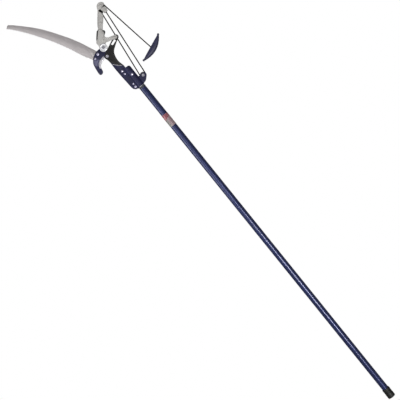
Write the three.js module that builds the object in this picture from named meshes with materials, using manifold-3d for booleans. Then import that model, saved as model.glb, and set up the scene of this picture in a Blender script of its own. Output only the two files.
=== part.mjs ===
// Telescoping pole saw with a rope-driven lopper head. Millimetres.
// Origin: centre of the butt face. +X along the pole to the head, +Y to the saw, +Z out of the head plate.
import * as THREE from 'three';
import { mergeVertices } from 'three/addons/utils/BufferGeometryUtils.js';
import Module from 'manifold-3d';

const wasm = await Module();
wasm.setup();

// ---- driving dimensions ----
const gap = 0.3;
const outerTubeR = 12.9;
const outerTubeBore = 11.6;
const outerTubeStart = 4.4;
const outerTubeEnd = 1508;
const capR = 15.2;
const capLength = 41;
const collarEnd = 1516.2;
const innerTubeR = 11.15;
const innerTubeBore = 9.9;
const innerTubeStart = 119.9;
const innerTubeEnd = 1604;
const labelStart = 1324;
const labelEnd = 1378;
const socketR = 13.9;
const socketBore = 11.5;
const socketStart = 1518;
const socketEnd = 1608;
const plateHalf = 2;
const flangeLow = 2.3;
const flangeHigh = 4.3;
const earLow = 5;
const earHigh = 7;
const sawLow = -4.3;
const sawHigh = -2.6;
const bladeLow = 2.4;
const bladeHigh = 5.4;
const leverLow = 6.5;
const leverHigh = 9.5;
const cheekLow = -9;
const cheekHigh = -6;
const leverPivot = [1719.2, 21.6];
const bladePivot = [1685.4, 30.9];
const slotPin = [1719.8, -41];
const upperSheave = [1850.5, -70];
const lowerSheave = [1544.7, -30.4];
const tubeBolt = [1572, 0.6];
const bigFlangeBolts = [[1605.8, 22.3], [1528.3, 19.2]];
const smallFlangeBolts = [[1591.8, 21.4], [1542.1, 19]];
const sawBolts = [[1714.3, 54], [1706.9, 72.1]];
const leverRivets = [[1768, -10], [1744.5, 5.5], [1799, -27.5]];
const becketRivet = [1828.3, -71.5];
const pivotShankR = 4;
const bigShankR = 2.5;
const smallShankR = 1.6;
const rivetShankR = 2.6;
const ropeR = 2;
const pitchR = 11;
const sheaveRimR = 13.5;
const handleTips = [[1631.4, -172.2], [1588.9, -67.6]];
const handleDepth = 22.2;
const handleHalfThick = 10;
const handleZ = -9;
const handleEntry = [1611.7, -120.5];
const toothPitch = 6.2;
const toothDepth = 3.4;

// ---- colours ----
const coats = {
  poleBlue: new THREE.MeshStandardMaterial({ color: 0x2b2f72, metalness: 0.2, roughness: 0.35 }),
  headBlue: new THREE.MeshStandardMaterial({ color: 0x2a2850, metalness: 0.2, roughness: 0.45 }),
  blackSteel: new THREE.MeshStandardMaterial({ color: 0x1d1b1b, metalness: 0.5, roughness: 0.5 }),
  castSilver: new THREE.MeshStandardMaterial({ color: 0xb4b2b0, metalness: 0.8, roughness: 0.45 }),
  sawSteel: new THREE.MeshStandardMaterial({ color: 0xa8a5a5, metalness: 0.7, roughness: 0.4 }),
  zinc: new THREE.MeshStandardMaterial({ color: 0xd7d4e2, metalness: 0.9, roughness: 0.3 }),
  tubeAlloy: new THREE.MeshStandardMaterial({ color: 0xb0b2b8, metalness: 0.9, roughness: 0.35 }),
  blackRubber: new THREE.MeshStandardMaterial({ color: 0x191914, metalness: 0, roughness: 0.8 }),
  blackNylon: new THREE.MeshStandardMaterial({ color: 0x1a1a1a, metalness: 0, roughness: 0.55 }),
  greyPlastic: new THREE.MeshStandardMaterial({ color: 0x55555a, metalness: 0, roughness: 0.6 }),
  handleBlue: new THREE.MeshStandardMaterial({ color: 0x3e3c55, metalness: 0, roughness: 0.45 }),
  rope: new THREE.MeshStandardMaterial({ color: 0x3c3e3a, metalness: 0, roughness: 0.9 }),
  label: new THREE.MeshStandardMaterial({ color: 0xb48a90, metalness: 0, roughness: 0.5 }),
};

// ---- geometry helpers ----
function tidy(geometry) {
  const bare = geometry.index ? geometry.toNonIndexed() : geometry.clone();
  bare.deleteAttribute('normal');
  bare.deleteAttribute('uv');
  const merged = mergeVertices(bare, 1e-3);
  const index = merged.index.array;
  const position = merged.attributes.position;
  const kept = [];
  let volume = 0;
  const a = new THREE.Vector3();
  const b = new THREE.Vector3();
  const c = new THREE.Vector3();
  for (let i = 0; i < index.length; i += 3) {
    const [p, q, r] = [index[i], index[i + 1], index[i + 2]];
    if (p === q || q === r || r === p) continue;
    kept.push(p, q, r);
    a.fromBufferAttribute(position, p);
    b.fromBufferAttribute(position, q);
    c.fromBufferAttribute(position, r);
    volume += a.dot(b.cross(c));
  }
  if (volume < 0) {
    for (let i = 0; i < kept.length; i += 3) [kept[i + 1], kept[i + 2]] = [kept[i + 2], kept[i + 1]];
  }
  merged.setIndex(kept);
  return merged;
}

function solidOf(geometry) {
  const g = tidy(geometry);
  return new wasm.Manifold(new wasm.Mesh({
    numProp: 3,
    vertProperties: new Float32Array(g.attributes.position.array),
    triVerts: new Uint32Array(g.index.array),
  }));
}

function geometryOf(solid) {
  const mesh = solid.getMesh();
  const g = new THREE.BufferGeometry();
  g.setAttribute('position', new THREE.BufferAttribute(new Float32Array(mesh.vertProperties), 3));
  g.setIndex(new THREE.BufferAttribute(new Uint32Array(mesh.triVerts), 1));
  return g;
}

function latheX(profile, segments = 32) {
  const points = [...profile, profile[0]].map(([r, x]) => new THREE.Vector2(r, x));
  const g = new THREE.LatheGeometry(points, segments);
  g.rotateZ(-Math.PI / 2);
  return tidy(g);
}

function latheZ([x, y], profile, segments = 20) {
  const points = [...profile, profile[0]].map(([r, z]) => new THREE.Vector2(r, z));
  const g = new THREE.LatheGeometry(points, segments);
  g.rotateX(Math.PI / 2);
  g.translate(x, y, 0);
  return tidy(g);
}

function smooth(points, closed = true, steps = 3, tension = 0.35) {
  const curve = new THREE.CatmullRomCurve3(
    points.map(([x, y]) => new THREE.Vector3(x, y, 0)), closed, 'catmullrom', tension);
  const count = closed ? points.length * steps : (points.length - 1) * steps;
  const list = curve.getPoints(count).map((p) => [p.x, p.y]);
  if (closed) list.pop();
  return list;
}

function circle([x, y], radius, count = 20) {
  const list = [];
  for (let i = 0; i < count; i++) {
    const t = (i / count) * Math.PI * 2;
    list.push([x + radius * Math.cos(t), y + radius * Math.sin(t)]);
  }
  return list;
}

function slab(outline, z0, z1, holes = []) {
  const shape = new THREE.Shape(outline.map(([x, y]) => new THREE.Vector2(x, y)));
  for (const hole of holes) {
    shape.holes.push(new THREE.Path(hole.map(([x, y]) => new THREE.Vector2(x, y))));
  }
  const g = new THREE.ExtrudeGeometry(shape, { depth: z1 - z0, bevelEnabled: false });
  g.translate(0, 0, z0);
  return tidy(g);
}

function tubeAlong(points, radius, steps, sides = 8) {
  const curve = points.length > 2
    ? new THREE.CatmullRomCurve3(points, false, 'catmullrom', 0.5)
    : new THREE.LineCurve3(points[0], points[1]);
  const ring = circle([0, 0], radius, sides).map(([x, y]) => new THREE.Vector2(x, y));
  return tidy(new THREE.ExtrudeGeometry(new THREE.Shape(ring), { steps, extrudePath: curve, bevelEnabled: false }));
}

function boxOf(low, high) {
  const g = new THREE.BoxGeometry(high[0] - low[0], high[1] - low[1], high[2] - low[2]);
  g.translate((low[0] + high[0]) / 2, (low[1] + high[1]) / 2, (low[2] + high[2]) / 2);
  return solidOf(g);
}

function drillZ(at, radius, z0, z1, segments = 20) {
  return solidOf(latheZ(at, [[0, z0], [radius, z0], [radius, z1], [0, z1]], segments));
}

const pieces = [];
function piece(name, geometry, coat) {
  pieces.push({ name, geometry, coat });
}

// ---- outer pole ----
piece('outer_tube', latheX([
  [outerTubeBore, outerTubeStart], [outerTubeR, outerTubeStart],
  [outerTubeR, outerTubeEnd], [outerTubeBore, outerTubeEnd],
], 40), 'poleBlue');

piece('end_cap', latheX([
  [0, 0], [12.4, 0], [14.4, 1], [capR, 3.4], [capR, 20], [14.7, 21], [14.7, 24], [capR, 25],
  [capR, capLength - 1.6], [14.5, capLength], [outerTubeR + gap, capLength],
  [outerTubeR + gap, outerTubeStart - gap], [0, outerTubeStart - gap],
], 28), 'blackRubber');

piece('lock_collar', latheX([
  [innerTubeR + gap, outerTubeEnd + gap], [13.3, outerTubeEnd + gap],
  [13.3, collarEnd - 1.4], [12.6, collarEnd], [innerTubeR + gap, collarEnd],
], 28), 'greyPlastic');

function labelShell() {
  const half = THREE.MathUtils.degToRad(78);
  const low = outerTubeR + gap;
  const high = low + 0.35;
  const shape = new THREE.Shape();
  const outline = [];
  const count = 14;
  for (let i = 0; i <= count; i++) {
    const t = Math.PI / 2 - half + (2 * half * i) / count;
    outline.push([high * Math.cos(t), high * Math.sin(t)]);
  }
  for (let i = count; i >= 0; i--) {
    const t = Math.PI / 2 - half + (2 * half * i) / count;
    outline.push([low * Math.cos(t), low * Math.sin(t)]);
  }
  shape.setFromPoints(outline.map(([y, z]) => new THREE.Vector2(y, z)));
  const g = new THREE.ExtrudeGeometry(shape, { depth: labelEnd - labelStart, bevelEnabled: false });
  const turn = new THREE.Matrix4().makeBasis(
    new THREE.Vector3(0, 1, 0), new THREE.Vector3(0, 0, 1), new THREE.Vector3(1, 0, 0));
  g.applyMatrix4(turn);
  g.translate(labelStart, 0, 0);
  return tidy(g);
}
piece('label_sticker', labelShell(), 'label');

// ---- twist lock inside the pole ----
piece('lock_cam', latheX([
  [6.4, 88.4], [10.6, 88.4], [11.25, 90], [11.25, 112], [10.6, 113.6], [6.4, 113.6],
], 20), 'greyPlastic');

piece('lock_plug', latheX([
  [0, 84], [10.6, 84], [10.6, 88], [6, 88], [6, 114], [11, 114],
  [11, 119.6], [9.5, 119.6], [9.5, 150], [0, 150],
], 18), 'blackNylon');

const innerTube = solidOf(latheX([
  [innerTubeBore, innerTubeStart], [innerTubeR, innerTubeStart],
  [innerTubeR, innerTubeEnd], [innerTubeBore, innerTubeEnd],
], 36)).subtract(drillZ(tubeBolt, bigShankR + gap, -20, 20));
piece('inner_tube', geometryOf(innerTube), 'tubeAlloy');

// ---- socket shells ----
const flangeOutline = smooth([
  [1519.2, 11], [1518.2, 17], [1519.6, 22.5], [1523, 27.5], [1528, 31.6], [1534, 33.2], [1541.6, 34],
  [1556, 34.8], [1572.5, 35.6], [1588, 36.5], [1600.7, 37.2], [1605.5, 36.4], [1608, 33], [1608, 26], [1608, 11],
], true, 2);
const earOutline = smooth([
  [1521.4, -8], [1521.8, -20], [1524, -26.4], [1530.6, -34.4], [1538, -41], [1543.6, -43.2], [1549.4, -41.8],
  [1552.8, -37], [1553.9, -30.4], [1552.9, -24], [1551.8, -17.5], [1551.4, -8],
], true, 2);
const barrelOutline = [
  [socketStart, -20], [1602, -20], [1602, -socketR], [1605.6, -12.2], [1607.4, -9], [socketEnd, -5],
  [socketEnd, 20], [socketStart, 20],
];

function socketShell(side) {
  const z = (low, high) => (side > 0 ? [low, high] : [-high, -low]);
  const barrel = solidOf(latheX([[0, socketStart], [socketR, socketStart], [socketR, socketEnd], [0, socketEnd]], 36))
    .intersect(solidOf(slab(barrelOutline, ...z(0.15, 20))));
  const flange = solidOf(slab(flangeOutline, ...z(flangeLow, flangeHigh)));
  const ear = solidOf(slab(earOutline, ...z(earLow, earHigh)));
  const bore = solidOf(latheX([[0, 1500], [socketBore, 1500], [socketBore, 1620], [0, 1620]], 36));
  const slot = boxOf([1500, 0, -flangeLow], [1620, 60, flangeLow]);
  let shell = barrel.add(flange).add(ear).subtract(bore).subtract(slot);
  for (const at of bigFlangeBolts) shell = shell.subtract(drillZ(at, bigShankR + gap, -20, 20, 16));
  for (const at of smallFlangeBolts) shell = shell.subtract(drillZ(at, smallShankR + gap, -20, 20, 12));
  shell = shell.subtract(drillZ(tubeBolt, bigShankR + gap, -20, 20, 16));
  return shell.subtract(drillZ(lowerSheave, rivetShankR + gap, -20, 20, 16));
}
piece('socket_front', geometryOf(socketShell(1)), 'headBlue');
piece('socket_back', geometryOf(socketShell(-1)), 'headBlue');

// ---- hook plate ----
const hookOutside = smooth([
  [1650.2, 97.6], [1659.1, 97.6], [1670, 96.2], [1685.2, 93.8], [1697.4, 90.4], [1706.7, 84],
  [1714.9, 75.4], [1720.9, 64.9], [1725.4, 54], [1726.8, 45.3], [1727.4, 36.5], [1732, 29],
  [1732.4, 20], [1728.4, 12.4], [1719, 9.4], [1710.5, 12.5], [1703, 15.2], [1692, 9.4], [1680, 8],
  [1664, 11], [1647, 12.6], [1632, 9.6], [1621, 4.8], [1613, 3.4], [1605, 3.4],
], false, 2);
const strapEdge = smooth([
  [1519.5, 11.7], [1518.5, 17.5], [1520, 22.8], [1523.4, 27.6], [1528.2, 31.8], [1534, 33.4],
  [1541.6, 34.2], [1556, 35], [1572.5, 35.8], [1588, 36.8], [1600.7, 37.5], [1618.2, 38],
  [1633, 38.2], [1649.3, 37.7], [1658.8, 37.4], [1672, 38.8], [1683.6, 42.2],
], false, 2);
const hookInside = smooth([
  [1695.2, 42.2], [1695.3, 48.7], [1692.6, 60], [1688, 68.6], [1681.1, 75.8], [1672.9, 80.4], [1666.2, 81.4],
], false, 3);
const hookNose = smooth([
  [1664.4, 77.2], [1656, 78.6], [1650, 80.8], [1646.2, 85.2], [1645, 90.6], [1646.6, 95],
], false, 2);
const plateOutline = [...hookOutside, [1605, 11.7], ...strapEdge, ...hookInside, ...hookNose];
const plateHoles = [
  circle(leverPivot, pivotShankR + gap), circle(bladePivot, pivotShankR + gap),
  ...bigFlangeBolts.map((at) => circle(at, bigShankR + gap, 16)),
  ...smallFlangeBolts.map((at) => circle(at, smallShankR + gap, 12)),
  ...sawBolts.map((at) => circle(at, bigShankR + gap, 16)),
];
piece('hook_plate', slab(plateOutline, -plateHalf, plateHalf, plateHoles), 'headBlue');

const edgeOuter = smooth([
  [1694.8, 42.7], [1694.9, 48.6], [1692.2, 59.8], [1687.6, 68.2], [1680.8, 75.3], [1672.7, 79.9], [1666.6, 80.9],
], false, 3);
const edgeInner = smooth([
  [1665, 77], [1670.4, 74.4], [1677, 68.4], [1681.6, 60], [1684.2, 50.4], [1684.4, 42.7],
], false, 3);
piece('counter_edge', slab([...edgeOuter, ...edgeInner], -1.9, 1.9), 'castSilver');

// ---- saw blade ----
const sawBack = smooth([
  [1706.9, 41.8], [1728.9, 51], [1760, 64.4], [1791.6, 78.5], [1827, 97.4], [1862.1, 119.3], [1896, 141.4],
  [1927.5, 164.2], [1956.5, 189.4], [1984.1, 216.2], [2001.5, 233.6], [2016, 250.2],
], false, 2);
const sawToothLine = smooth([
  [2006.5, 262.6], [1992.5, 249.4], [1967, 228.6], [1935.5, 205.4], [1902.4, 183.4], [1868, 161.6],
  [1832.5, 141.8], [1794.5, 122.6], [1755.2, 105.6], [1732, 94.4],
], false, 12);
function toothed(line) {
  const curve = new THREE.CatmullRomCurve3(line.map(([x, y]) => new THREE.Vector3(x, y, 0)), false, 'catmullrom', 0.5);
  const count = Math.round(curve.getLength() / toothPitch);
  const list = [];
  for (let i = 0; i <= count; i++) {
    const t = i / count;
    const p = curve.getPointAt(t);
    const d = curve.getTangentAt(t);
    list.push([p.x + d.y * toothDepth * 0.5, p.y - d.x * toothDepth * 0.5]);
    if (i === count) break;
    const q = curve.getPointAt(Math.min(1, t + 0.62 / count));
    list.push([q.x - d.y * toothDepth * 0.5, q.y + d.x * toothDepth * 0.5]);
  }
  return list;
}
const sawOutline = [...sawBack, [2014.2, 256.6], [2010, 261.4], ...toothed(sawToothLine),
  [1722, 88.6], [1709.4, 81.6], [1692, 75.3]];
piece('saw_blade', slab(sawOutline, sawLow, sawHigh, sawBolts.map((at) => circle(at, bigShankR + gap, 16))), 'sawSteel');

// ---- cutting blade ----
const bladeBack = smooth([
  [1617.5, 2.6], [1624, 4.4], [1632.3, 6.6], [1640, 8.2], [1646.9, 9], [1655, 8.8], [1664.7, 7.2],
  [1672.5, 5], [1680.1, 1.8], [1688.9, -5.4], [1697.9, -18], [1706.6, -31.6], [1712.4, -43.4], [1716, -48.6],
  [1722, -51], [1728, -49], [1730.8, -44.4], [1729.4, -38.4], [1725.6, -29.6], [1720.6, -16], [1714.4, -3], [1709.4, 8.3],
  [1704, 19.9], [1699.2, 30], [1694.5, 37], [1687.2, 41.2], [1680, 41.2], [1672, 38.4], [1658.8, 36.9],
], false, 2);
const bladeCut = smooth([
  [1652.6, 36.4], [1645.5, 32], [1639.8, 27.6], [1634.5, 23.5], [1630, 19.2], [1625.5, 12.6], [1621.6, 6.6],
], false, 2);
function slotOutline() {
  const line = [[1719.8, -41, 3.9], [1715.4, -30, 4], [1709.5, -12.5, 4], [1702.5, -0.5, 3.2]];
  const left = [];
  const right = [];
  line.forEach(([x, y, half], i) => {
    const before = line[Math.max(0, i - 1)];
    const after = line[Math.min(line.length - 1, i + 1)];
    const d = new THREE.Vector2(after[0] - before[0], after[1] - before[1]).normalize();
    left.push([x + d.y * half, y - d.x * half]);
    right.push([x - d.y * half, y + d.x * half]);
  });
  const cap = (centre, half, from) => [1, 2, 3, 4].map((i) => {
    const t = from + (i * Math.PI) / 5;
    return [centre[0] + half * Math.cos(t), centre[1] + half * Math.sin(t)];
  });
  const topTurn = Math.atan2(line[1][1] - line[0][1], line[1][0] - line[0][0]);
  const lowTurn = Math.atan2(line[3][1] - line[2][1], line[3][0] - line[2][0]);
  return [...left, ...cap(line[3], 3.2, lowTurn - Math.PI / 2), ...right.reverse(),
    ...cap(line[0], 3.9, topTurn + Math.PI / 2)];
}
piece('cutting_blade', slab([...bladeBack, ...bladeCut], bladeLow, bladeHigh,
  [circle(bladePivot, pivotShankR + gap), slotOutline()]), 'blackSteel');

// ---- lever ----
const leverOutline = smooth([
  [1716.2, -39.5], [1717.4, -43.6], [1722, -45.8], [1727.6, -44.8], [1731.2, -40.6], [1733.8, -33.5],
  [1737, -22], [1741, -12.6], [1746.4, -9.6], [1752.4, -10.4], [1758, -13], [1763, -15.8], [1768.4, -16.8],
  [1774, -16.4], [1778.6, -19.4], [1790, -30], [1803, -41.4], [1814, -51.6], [1822, -54.6], [1830.4, -54],
  [1835.6, -51], [1841, -52], [1842.4, -56.6], [1838.6, -61], [1830, -62], [1820.8, -63], [1819.4, -72],
  [1821.8, -79.2], [1831, -82.4], [1838.6, -81], [1841, -75], [1841.8, -66], [1843.6, -66], [1844.8, -75],
  [1846.6, -80.6], [1849.6, -85.8], [1856.4, -84.2], [1861.8, -79], [1864.2, -71.4], [1863.2, -62.6], [1858, -56],
  [1851.6, -52.6], [1843.6, -49], [1830, -37.6], [1812, -22.4], [1798, -11.8], [1789, -6.8], [1783.6, -4.2],
  [1780.4, 0.2], [1770, 9.2], [1761, 17.4], [1757.4, 23.4], [1754.6, 28.6], [1748.6, 32.8], [1741, 32.4],
  [1734, 32.8], [1727.4, 35], [1719.2, 37], [1711.4, 35], [1705.6, 29.6], [1703.8, 21.6], [1705.6, 13.8],
  [1711.4, 8.4], [1719.2, 6.4], [1726, 6.6], [1728.6, 1.4], [1726.6, -4.4], [1724.8, -10.4], [1722.8, -19],
  [1719.4, -30],
], true, 2, 0.3);
const cheekOutline = smooth([
  [1731.5, 12], [1738, 3], [1740, -4], [1747, -7.6], [1752.6, -9.4], [1758, -13.4], [1761, -18],
  [1764.4, -21.6], [1768.6, -22.8], [1773.4, -21.6], [1777.4, -18.6], [1790, -30], [1803, -41.4], [1814, -51.6],
  [1822, -54.6], [1829, -57.4], [1826, -64], [1820.8, -68], [1821.4, -76], [1829, -80.6], [1839, -80.4],
  [1848.6, -84.6], [1855.4, -83.4], [1860.6, -78.6], [1862.8, -71.4], [1861.8, -63.2], [1857, -57],
  [1851.4, -53.6], [1843.6, -49], [1830, -37.6], [1812, -22.4], [1798, -11.8], [1789.4, -6.8], [1786, 3],
  [1775.6, 13], [1765.6, 21.6], [1758.8, 26.2], [1752, 27.4], [1744, 28], [1734, 31], [1727, 34.6],
  [1719.2, 35.8], [1712, 34], [1706.6, 28.4], [1705, 21.6], [1706.8, 14], [1712.4, 9], [1719.2, 7.4], [1726, 8.6],
], true, 2, 0.3);
const leverHoles = (hubR) => [
  circle(leverPivot, hubR + gap, 20), circle(upperSheave, rivetShankR + gap, 12),
  circle(becketRivet, rivetShankR + gap, 12), ...leverRivets.map((at) => circle(at, rivetShankR + gap, 12)),
];
piece('lever_front', slab(leverOutline, leverLow, leverHigh,
  [...leverHoles(8), circle(slotPin, 2.2, 14)]), 'castSilver');
piece('lever_back', slab(cheekOutline, cheekLow, cheekHigh, leverHoles(8)), 'blackSteel');
piece('lever_hub_front', latheZ(leverPivot, [
  [pivotShankR + gap, 2.5], [8, 2.5], [8, leverHigh + gap], [14.2, leverHigh + gap], [15.2, 10.8],
  [14.6, 12], [9, 12.6], [pivotShankR + gap, 12.6],
], 24), 'castSilver');
piece('lever_hub_back', latheZ(leverPivot, [
  [pivotShankR + gap, -2.5], [pivotShankR + gap, -11.6], [11, -11.6], [12, -10.8], [12, cheekLow - gap],
  [8, cheekLow - gap], [8, -2.5],
], 18), 'castSilver');

function rivet(at, middleR = 5, headR = 4.4) {
  const front = leverHigh + gap;
  const back = cheekLow - gap;
  return latheZ(at, [
    [0, back - 1.6], [headR * 0.6, back - 1.6], [headR, back - 0.7], [headR, back], [rivetShankR, back],
    [rivetShankR, cheekHigh + gap], [middleR, cheekHigh + gap], [middleR, leverLow - gap],
    [rivetShankR, leverLow - gap], [rivetShankR, front], [headR, front], [headR, front + 0.7],
    [headR * 0.6, front + 1.6], [0, front + 1.6],
  ], 12);
}
leverRivets.forEach((at, i) => piece(`lever_rivet_${i + 1}`, rivet(at), 'castSilver'));
piece('becket_rivet', rivet(becketRivet, rivetShankR, 3.6), 'castSilver');
const becket = [[1820.6, -78], [1823, -80.2], [1834, -80.2], [1836, -78], [1836, -65], [1834, -63], [1823, -63], [1820.6, -65]];
piece('becket_block', slab(becket, cheekHigh + gap, leverLow - gap, [circle(becketRivet, rivetShankR + gap, 16)]), 'castSilver');
piece('slot_pin', latheZ(slotPin, [
  [0, bladeHigh + gap], [2.8, bladeHigh + gap], [2.8, leverLow - gap], [1.9, leverLow - gap],
  [1.9, leverHigh + gap], [3.6, leverHigh + gap], [3.2, 10.9], [0, 10.9],
], 16), 'castSilver');

// ---- fasteners ----
function bolt(at, headR, headH, shankR, under, end) {
  const top = under + headH;
  return latheZ(at, [
    [0, end], [shankR, end], [shankR, under], [headR, under], [headR, top - 0.6], [headR - 0.9, top], [0, top],
  ], 18);
}
function nut(at, acrossR, bore, low, high) {
  return slab(circle(at, acrossR, 6), low, high, [circle(at, bore, 14)]);
}
const flangeTop = flangeHigh + gap;
bigFlangeBolts.forEach((at, i) => {
  piece(`flange_bolt_big_${i + 1}`, bolt(at, 4.9, 3.2, bigShankR, flangeTop, -8.6), 'zinc');
  piece(`flange_nut_big_${i + 1}`, nut(at, 4.7, bigShankR + gap, -flangeTop - 3.2, -flangeTop), 'zinc');
});
smallFlangeBolts.forEach((at, i) => {
  piece(`flange_bolt_small_${i + 1}`, bolt(at, 3.7, 2.2, smallShankR, flangeTop, -7.4), 'zinc');
  piece(`flange_nut_small_${i + 1}`, nut(at, 3.4, smallShankR + gap, -flangeTop - 2.2, -flangeTop), 'zinc');
});
sawBolts.forEach((at, i) => {
  const headR = i === 0 ? 5.3 : 4;
  piece(`saw_bolt_${i + 1}`, bolt(at, headR, 3.2, bigShankR, plateHalf + gap, -8.6), 'zinc');
  piece(`saw_nut_${i + 1}`, nut(at, 4.7, bigShankR + gap, -7.8, sawLow - gap), 'zinc');
});
piece('tube_bolt', bolt(tubeBolt, 5, 3.2, bigShankR, socketR + gap, -18.9), 'zinc');
piece('tube_nut', nut(tubeBolt, 4.7, bigShankR + gap, -17.8, -socketR - gap), 'zinc');
piece('blade_pivot_bolt', bolt(bladePivot, 5.9, 2.6, pivotShankR, bladeHigh + gap, -7.4), 'zinc');
piece('blade_pivot_nut', nut(bladePivot, 7, pivotShankR + gap, -6.2, -plateHalf - gap), 'zinc');
piece('lever_pivot_bolt', bolt(leverPivot, 6.2, 2.8, pivotShankR, 12.9, -16.6), 'zinc');
piece('lever_pivot_nut', nut(leverPivot, 7, pivotShankR + gap, -15.6, -11.9), 'zinc');

// ---- sheaves ----
function sheave(at, half, hubHalf, rimR = sheaveRimR) {
  return latheZ(at, [
    [rivetShankR + gap, -hubHalf], [5.4, -hubHalf], [5.4, -half], [rimR, -half], [rimR, -half + 0.8],
    [8.6, -1.4], [8.6, 1.4], [rimR, half - 0.8], [rimR, half], [5.4, half], [5.4, hubHalf],
    [rivetShankR + gap, hubHalf],
  ], 24);
}
piece('upper_sheave', sheave(upperSheave, 3.8, 5.4), 'blackNylon');
piece('lower_sheave', sheave(lowerSheave, 3.8, 4.6, 12.8), 'blackNylon');
function axle(at, low, high, headR) {
  return latheZ(at, [
    [0, low - gap - 1.8], [headR, low - gap - 1.8], [headR, low - gap], [rivetShankR, low - gap],
    [rivetShankR, high + gap], [headR, high + gap], [headR, high + gap + 0.8], [headR * 0.6, high + gap + 1.8],
    [0, high + gap + 1.8],
  ], 18);
}
piece('upper_sheave_axle', axle(upperSheave, cheekLow, leverHigh, 5), 'castSilver');
piece('lower_sheave_axle', axle(lowerSheave, -earHigh, earHigh, 5.8), 'zinc');

// ---- rope ----
const upper = new THREE.Vector2(...upperSheave);
const lower = new THREE.Vector2(...lowerSheave);
const run = upper.clone().sub(lower).normalize();
const side = new THREE.Vector2(-run.y, run.x);
const inLow = lower.clone().addScaledVector(side, pitchR);
const inHigh = upper.clone().addScaledVector(side, pitchR);
const becketEnd = new THREE.Vector2(1820.2, -71.2);
const bushingBack = 23.2;
const toBecket = becketEnd.clone().sub(lower);
const lean = Math.acos(pitchR / toBecket.length());
const outTurn = Math.atan2(toBecket.y, toBecket.x) - lean;
const outLow = new THREE.Vector2(lower.x + pitchR * Math.cos(outTurn), lower.y + pitchR * Math.sin(outTurn));
const handleIn = new THREE.Vector2(...handleEntry);
const toHandle = handleIn.clone().sub(upper);
const handleTurn = Math.atan2(toHandle.y, toHandle.x) + Math.acos(pitchR / toHandle.length());
const handOff = new THREE.Vector2(upper.x + pitchR * Math.cos(handleTurn), upper.y + pitchR * Math.sin(handleTurn));

function strand(from, to, trim) {
  const d = to.clone().sub(from).normalize();
  const a = from.clone().addScaledVector(d, trim[0]);
  const b = to.clone().addScaledVector(d, -trim[1]);
  return tubeAlong([new THREE.Vector3(a.x, a.y, 0), new THREE.Vector3(b.x, b.y, 0)], ropeR, 4);
}
function turn(centre, from, to, count) {
  const points = [];
  for (let i = 0; i <= count; i++) {
    const t = from + ((to - from) * i) / count;
    points.push(new THREE.Vector3(centre.x + pitchR * Math.cos(t), centre.y + pitchR * Math.sin(t), 0));
  }
  return tubeAlong(points, ropeR, count + 4);
}
const inTurn = Math.atan2(side.y, side.x);
const trimTurn = 0.02;
piece('rope_strand_in', strand(inLow, inHigh, [0.2, 0.2]), 'rope');
piece('rope_strand_out', strand(outLow, becketEnd, [0.2, 0]), 'rope');
piece('rope_lower_turn', turn(lower, inTurn + trimTurn, outTurn + Math.PI * 2 - trimTurn, 14), 'rope');
piece('rope_upper_turn', turn(upper, inTurn - trimTurn, handleTurn + trimTurn, 14), 'rope');

const handleDir = handleIn.clone().sub(handOff).normalize();
const handleRun = handleIn.distanceTo(handOff);
const strandDrop = [0, -0.6, -3, -6.6, -9.4, -10.6, -10, handleZ, handleZ];
const strandAt = [0.2, 18, 60, 105, 150, 190, 220, 236, handleRun + 9];
piece('rope_handle_strand', tubeAlong(strandAt.map((s, i) => new THREE.Vector3(
  handOff.x + handleDir.x * s, handOff.y + handleDir.y * s, strandDrop[i])), ropeR, 22), 'rope');

const bushAt = upper.clone().addScaledVector(side, pitchR).addScaledVector(run, -bushingBack);
const bush = new THREE.LatheGeometry(
  [[2.5, -3.4], [4.6, -3.4], [4.6, 3.4], [2.5, 3.4], [2.5, -3.4]].map(([r, h]) => new THREE.Vector2(r, h)), 16);
bush.rotateZ(-Math.PI / 2);
bush.rotateZ(Math.atan2(run.y, run.x));
bush.translate(bushAt.x, bushAt.y, 0);
piece('rope_bushing', tidy(bush), 'blackNylon');

// ---- pull handle ----
function handleSolid() {
  const [a, b] = handleTips.map(([x, y]) => new THREE.Vector2(x, y));
  const along = b.clone().sub(a);
  const length = along.length();
  along.normalize();
  const out = new THREE.Vector2(-along.y, along.x);
  const rings = 18;
  const around = 14;
  const vertices = [];
  const faces = [];
  for (let i = 0; i <= rings; i++) {
    const t = i / rings;
    const bow = Math.sin(Math.PI * t);
    const outer = 3.2 + (handleDepth - 3.2) * Math.pow(bow, 0.8);
    const inner = -2 - 0.4 * Math.pow(bow, 1.5);
    const mid = (outer + inner) / 2;
    const halfWide = (outer - inner) / 2;
    const halfThick = 3.4 + (handleHalfThick - 3.4) * Math.pow(bow, 0.55);
    for (let k = 0; k < around; k++) {
      const turnAngle = (k / around) * Math.PI * 2;
      const w = mid + halfWide * Math.cos(turnAngle);
      const s = length * t;
      vertices.push(a.x + along.x * s + out.x * w, a.y + along.y * s + out.y * w,
        handleZ + halfThick * Math.sin(turnAngle));
    }
  }
  for (let i = 0; i < rings; i++) {
    for (let k = 0; k < around; k++) {
      const p = i * around + k;
      const q = i * around + ((k + 1) % around);
      faces.push(p, q, q + around, p, q + around, p + around);
    }
  }
  const first = vertices.length / 3;
  for (const tip of [a, b]) vertices.push(tip.x + out.x * 0.6, tip.y + out.y * 0.6, handleZ);
  for (let k = 0; k < around; k++) {
    const next = (k + 1) % around;
    faces.push(first, next, k, first + 1, rings * around + k, rings * around + next);
  }
  const g = new THREE.BufferGeometry();
  g.setAttribute('position', new THREE.BufferAttribute(new Float32Array(vertices), 3));
  g.setIndex(faces);
  let solid = solidOf(g);
  for (const tip of [a, b]) {
    const ball = new THREE.SphereGeometry(4.4, 10, 7);
    ball.translate(tip.x, tip.y, handleZ);
    solid = solid.add(solidOf(ball));
  }
  const hole = tubeAlong([-6, 12].map((s) => new THREE.Vector3(
    handleIn.x + handleDir.x * s, handleIn.y + handleDir.y * s, handleZ)), ropeR + 0.5, 1, 10);
  return geometryOf(solid.subtract(solidOf(hole)));
}
piece('pull_handle', handleSolid(), 'handleBlue');

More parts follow.
